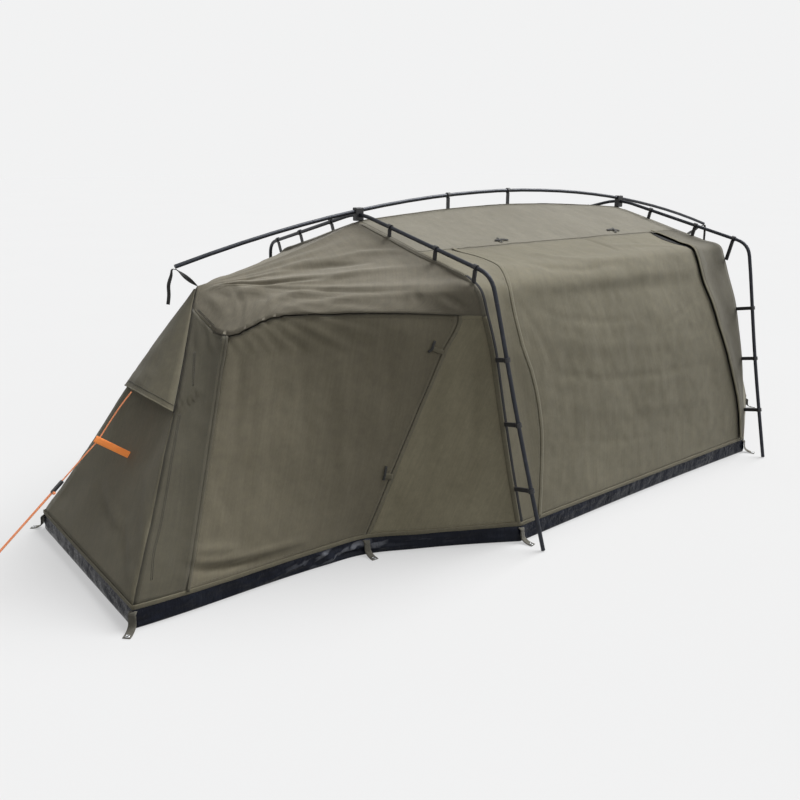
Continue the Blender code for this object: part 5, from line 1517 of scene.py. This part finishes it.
def make_mattress():
    """A quilted foam mattress: a cover swollen between the channels sewn across it, with piping."""
    low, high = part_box("mattress")
    length, half = high[0] - low[0], (high[1] - low[1]) / 2
    top, base = low[2] + PAD_TOP, low[2] + PAD_BASE
    middle = (top + base) / 2
    nx, ny = MATTRESS_CELLS
    channel = length / MATTRESS_CHANNELS

    def inset(u):
        """How much a rounded corner takes off the side, at a share of the length."""
        short = MATTRESS_CORNER_R - min(min(u, 1 - u) * length, MATTRESS_CORNER_R)
        return MATTRESS_CORNER_R - math.sqrt(max(MATTRESS_CORNER_R ** 2 - short ** 2, 0))

    def beside_channel(p):
        return abs((p.x - low[0] + channel / 2) % channel - channel / 2)

    def sewn(p):
        return p.z < base + SEWN_BASE or (p.z > middle and beside_channel(p) < SEWN_HALF)

    verts, faces = [], []
    for upper in (True, False):
        first = len(verts)
        for i, j in np.ndindex(nx + 1, ny + 1):
            u, v = i / nx, j / ny
            x = low[0] + PAD_INSET + u * (length - 2 * PAD_INSET)
            y = (2 * v - 1) * (half - PAD_INSET - inset(u))
            edge = min(min(u, 1 - u) * length, min(v, 1 - v) * 2 * half)
            round_off = 1 - math.exp(-edge / PAD_EDGE_R)
            swell = MATTRESS_CROWN * (1 - (2 * v - 1) ** 2) * math.sin(math.pi * u) ** 0.5
            above = top - PAD_RIM_DROP + PAD_RIM_RISE * round_off + PAD_CROWN_SHARE * swell
            verts.append(Vector((x, y, above if upper else base + PAD_FOOT_ROUND * (1 - round_off))))
        for i, j in np.ndindex(nx, ny):
            a = first + i * (ny + 1) + j
            quad = (a, a + ny + 1, a + ny + 2, a + 1)
            faces.append(quad if upper else quad[::-1])
    size = (nx + 1) * (ny + 1)
    rim = [(i, 0) for i in range(nx + 1)] + [(nx, j) for j in range(1, ny + 1)]
    rim += [(i, ny) for i in range(nx - 1, -1, -1)] + [(0, j) for j in range(ny - 1, 0, -1)]
    rim = [i * (ny + 1) + j for i, j in rim]
    faces += [(one, one + size, two + size, two) for one, two in zip(rim, rim[1:] + rim[:1])]
    points, skin = puffed(verts, faces, sewn)
    for p in points:
        if p.z > middle:
            p.z -= CHANNEL_DEPTH * math.exp(-(beside_channel(p) / CHANNEL_HALF) ** 2)
        p.xyz = [min(max(value, least), most) for value, least, most in zip(p, low, high)]
    pad = put("mattress_pad", points, skin, "mattress_cover", uvs=[(p.x, p.y) for p in points])
    face_outwards(pad)
    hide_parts("mattress")
    tree = kd_tree(points)
    outline = [(low[0] + u * length, side * (half - inset(u))) for side, us in
               ((-1, np.linspace(0, 1, 90)), (1, np.linspace(1, 0, 90))) for u in us]
    for name, level in (("mattress_piping_upper", top - PIPING_BELOW_TOP),
                        ("mattress_piping_lower", base + PIPING_ABOVE_BASE)):
        ring = [tree.find(Vector((x, y, level)))[0] for x, y in outline]
        ring = [p for k, p in enumerate(ring) if (p - ring[k - 1]).length > PIPING_STEP]
        ring = evened(ring * 3, 2)[len(ring):2 * len(ring) + 1]
        tube(name, ring, PIPING_R, "mattress_cover", sides=8)
    return pad


# Guy line, straps and ties

def make_guy_line():
    """The line, its webbing tab and its stopper knot."""
    points = smooth_curve([Vector(p) for p in GUY_ROUTE], 4)
    rope = tube("guy_line", points, ROPE_R, "orange_cord")
    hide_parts("guy_rope")
    root, eye = Vector(TAB_ROOT), Vector(TAB_EYE)
    along = (eye - root).normalized()
    across = along.cross(Vector((0, 1, 0))).normalized()
    aside = across.cross(along).normalized()
    start = root + along * TAB_LIFT
    half = [start + along * reach + aside * gap for reach, gap in TAB_PROFILE]
    back = [start + along * reach - aside * gap for reach, gap in TAB_PROFILE[-2::-1]]
    tab = strap("guy_tab_webbing", resampled(half + back, 0.0025), across, TAB_W, TAB_T, "orange_webbing")
    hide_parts("guy_tab")
    down = (Vector(GUY_ROUTE[8]) - Vector(GUY_ROUTE[6])).normalized()
    face = TENSIONER_SPACING / 2 + ROPE_R + FIT + TENSIONER_WALL
    centre = Vector(TENSIONER_PLACE) + down * (TENSIONER_LENGTH / 2 - KNOT_R)
    centre -= Vector((0, face + FIT + KNOT_R, 0))
    turns = []
    for k in range(KNOT_STEPS + 1):
        t = 2 * math.pi * k / KNOT_STEPS
        ring, side = KNOT_RING + KNOT_SWING * math.cos(3 * t), KNOT_SIDE * math.sin(3 * t)
        turns.append(centre + Vector((ring * math.cos(2 * t), side, ring * math.sin(2 * t))))
    knot = tube("stopper_knot", turns, KNOT_CORD_R, "orange_cord", sides=10)
    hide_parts("guy_knot")
    return rope, points, knot


def make_tip_straps():
    """Webbing from each tip of the ridge pole to the peak under it, and its loose tail."""
    level = Vector((0, 1, 0))
    for end, (canvas_end, tip_x, inner_x, tail_out) in STRAP_ENDS.items():
        peak = end_column(canvas_end)[0]
        tip, inner = Vector((tip_x, 0, ridge_z(tip_x))), Vector((inner_x, 0, ridge_z(inner_x)))
        out = (tip - inner).normalized()
        under = level.cross(out)
        under = under if under.z < 0 else -under
        seat = tip + under * (POLE_R + STRAP_T / 2 + FIT)
        start = peak + (seat - peak).normalized() * STRAP_T
        run = strap("ridge_strap_%s_run" % end, resampled([start, seat], 0.004), level, STRAP_W, STRAP_T,
                    "black_webbing", twist=0.5)
        hook = [seat + out * TAIL_START]
        hook += [seat + out * STRAP_W * reach - under * rise for reach, rise in TAIL_RISE]
        hook += [seat + out * STRAP_W * reach - Vector((0, 0, STRAP_TAIL * share)) for reach, share in (
            (1.3, 0.14), (tail_out * 0.8, 0.40), (tail_out * 0.85, 0.72), (tail_out, 1))]
        line = resampled(smooth_curve(hook, 6), 0.004)
        turned = [level.lerp(-Vector(TAIL_FACING), smooth_share(i / (len(line) - 1), 0.05, 0.45)).normalized()
                  for i in range(len(line))]
        strap("ridge_strap_%s_tail" % end, line, turned, STRAP_W * 0.8, STRAP_T, "black_webbing")
        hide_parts("ridge_strap_" + end)


def make_ties(surface):
    """Short tapes that hold a rolled door: two under the roof's edge, two beside the small door."""
    def tie(name, pixels, width, look="black_webbing", body="vestibule_flap", mirror=False):
        line = photo_line(surface, pixels, 0.004)
        if mirror:
            line = [surface.near(Vector((p.x, -p.y, p.z)))[0] for p in line]
        across, lifted = [], []
        for i, p in enumerate(line):
            place, normal = surface.near(p)
            across.append(normal.cross(ahead_at(line, i).normalized()).normalized())
            lifted.append(place + normal * (TIE_LIFT + TIE_BOW * math.sin(math.pi * i / (len(line) - 1))))
        strap(name, lifted, across, width, TIE_T, look, body)

    for side in ("near", "far"):
        for name, width, pixels in ROOF_TIES:
            tie("%s_%s" % (name, side), pixels, width, body="swag", mirror=side == "far")
    for name, width, look, pixels in DOOR_TIES:
        tie(name, pixels, width, look)


# Floor and light

def make_floor():
    """A pale floor that shows the backdrop's level to the camera and still takes the shadow."""
    n = Nodes("studio_floor")
    seen = n.backdrop_rays()
    pale = n.ramp(n.noise(n.place(), 0.6, 2), (0.3, FLOOR_LOW), (0.7, FLOOR_HIGH))
    n.finish(n.blend(seen, FLOOR_BOUNCE, pale), 0.9, Emission_Color=FLOOR_GLOW, Specular_IOR_Level=0.0)
    n.wire(n.maths("MULTIPLY", seen, FLOOR_SHOWN), n.shader.inputs["Emission Strength"])
    mesh = bpy.data.meshes.new("floor")
    corners = [(-1, -1), (1, -1), (1, 1), (-1, 1)]
    mesh.from_pydata([(x * FLOOR_REACH, y * FLOOR_REACH, FLOOR_Z) for x, y in corners], [], [(0, 1, 2, 3)])
    mesh.materials.append(n.mat)
    floor = bpy.data.objects.new("floor", mesh)
    bpy.context.scene.collection.objects.link(floor)


def make_light():
    """A pale surround that fills the shadows, a key light and a fill light."""
    scene = bpy.context.scene
    scene.world = bpy.data.worlds.new("studio")
    scene.world.use_nodes = True
    n = Nodes("studio", scene.world.node_tree)
    lit = n.tree.nodes["Background"]
    lit.inputs["Color"].default_value = WORLD_LIT
    lit.inputs["Strength"].default_value = WORLD_LEVEL
    shown = n.add("ShaderNodeBackground", in_Color=WORLD_SHOWN, in_Strength=1.0)
    fade = n.add("ShaderNodeMixShader")
    for socket, start in zip(fade.inputs, (n.backdrop_rays(), lit.outputs[0], shown.outputs[0])):
        n.wire(start, socket)
    n.wire(fade.outputs[0], n.tree.nodes["World Output"].inputs["Surface"])
    for name, aim, strength, spread in LAMPS:
        data = bpy.data.lights.new(name, "SUN")
        data.energy = strength
        data.angle = math.radians(spread)
        lamp = bpy.data.objects.new(name, data)
        lamp.rotation_euler = Vector(aim).to_track_quat("Z", "Y").to_euler()
        scene.collection.objects.link(lamp)
    scene.view_settings.view_transform = "Standard"


def dress_solids():
    """The poles, clips, hubs and slider keep their CAD solids and get their materials."""
    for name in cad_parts:
        if any(word in name for word in ("clip", "hub", "tensioner")):
            look = "clip_plastic"
        elif any(word in name for word in ("pole", "hoop_crown", "hoop_leg")):
            look = "pole_alloy"
        else:
            continue
        obj = bpy.data.objects[name]
        if obj.material_slots:
            obj.material_slots[0].material = MATERIALS[look]
        else:
            obj.data.materials.append(MATERIALS[look])


CAMERA = make_camera()
MATERIALS = {look: canvas_material(*colours) for look, colours in CANVASES.items()}
MATERIALS.update({
    "tub_vinyl": vinyl_material(),
    "pole_alloy": alloy_material(),
    "clip_plastic": plastic_material(),
    "black_webbing": webbing_material("black_webbing", (0.014, 0.014, 0.013), (0.034, 0.033, 0.029)),
    "loop": webbing_material("loop_webbing", (0.090, 0.084, 0.064), (0.135, 0.127, 0.100)),
    # The orange tape and cord give off a little light of their own: painted light
    "orange_webbing": webbing_material("orange_webbing", (0.90, 0.24, 0.05), (0.98, 0.32, 0.08), 0.30),
    "orange_cord": cord_material("orange_cord", (0.86, 0.28, 0.12), (0.95, 0.36, 0.17), (0.40, 0.20, 0.12),
                                 0.20),
    "mattress_cover": cover_material(),
    "mesh": mesh_cloth_material(),
    "thread": webbing_material("seam_thread", (0.040, 0.036, 0.026), (0.062, 0.056, 0.040)),
    "eyelet": metal_material(),
})


def main():
    rope, route, knot = make_guy_line()
    skin, points, surface, cloths = make_canvas()
    trims = make_trim(skin, points, surface, cloths)
    hood, vent, hood_trims = make_hood()
    make_tub(skin, points)
    make_peg_loops()
    pad = make_mattress()
    make_tip_straps()
    make_ties(surface)
    dress_solids()
    sheets = [(cloth, PANELS[name][2:], trims[name]) for name, cloth in cloths.items()]
    sheets += [(hood, HOOD_FLAT, hood_trims), (vent, MESH_FLAT, [])]
    make_floor()
    make_light()


main()
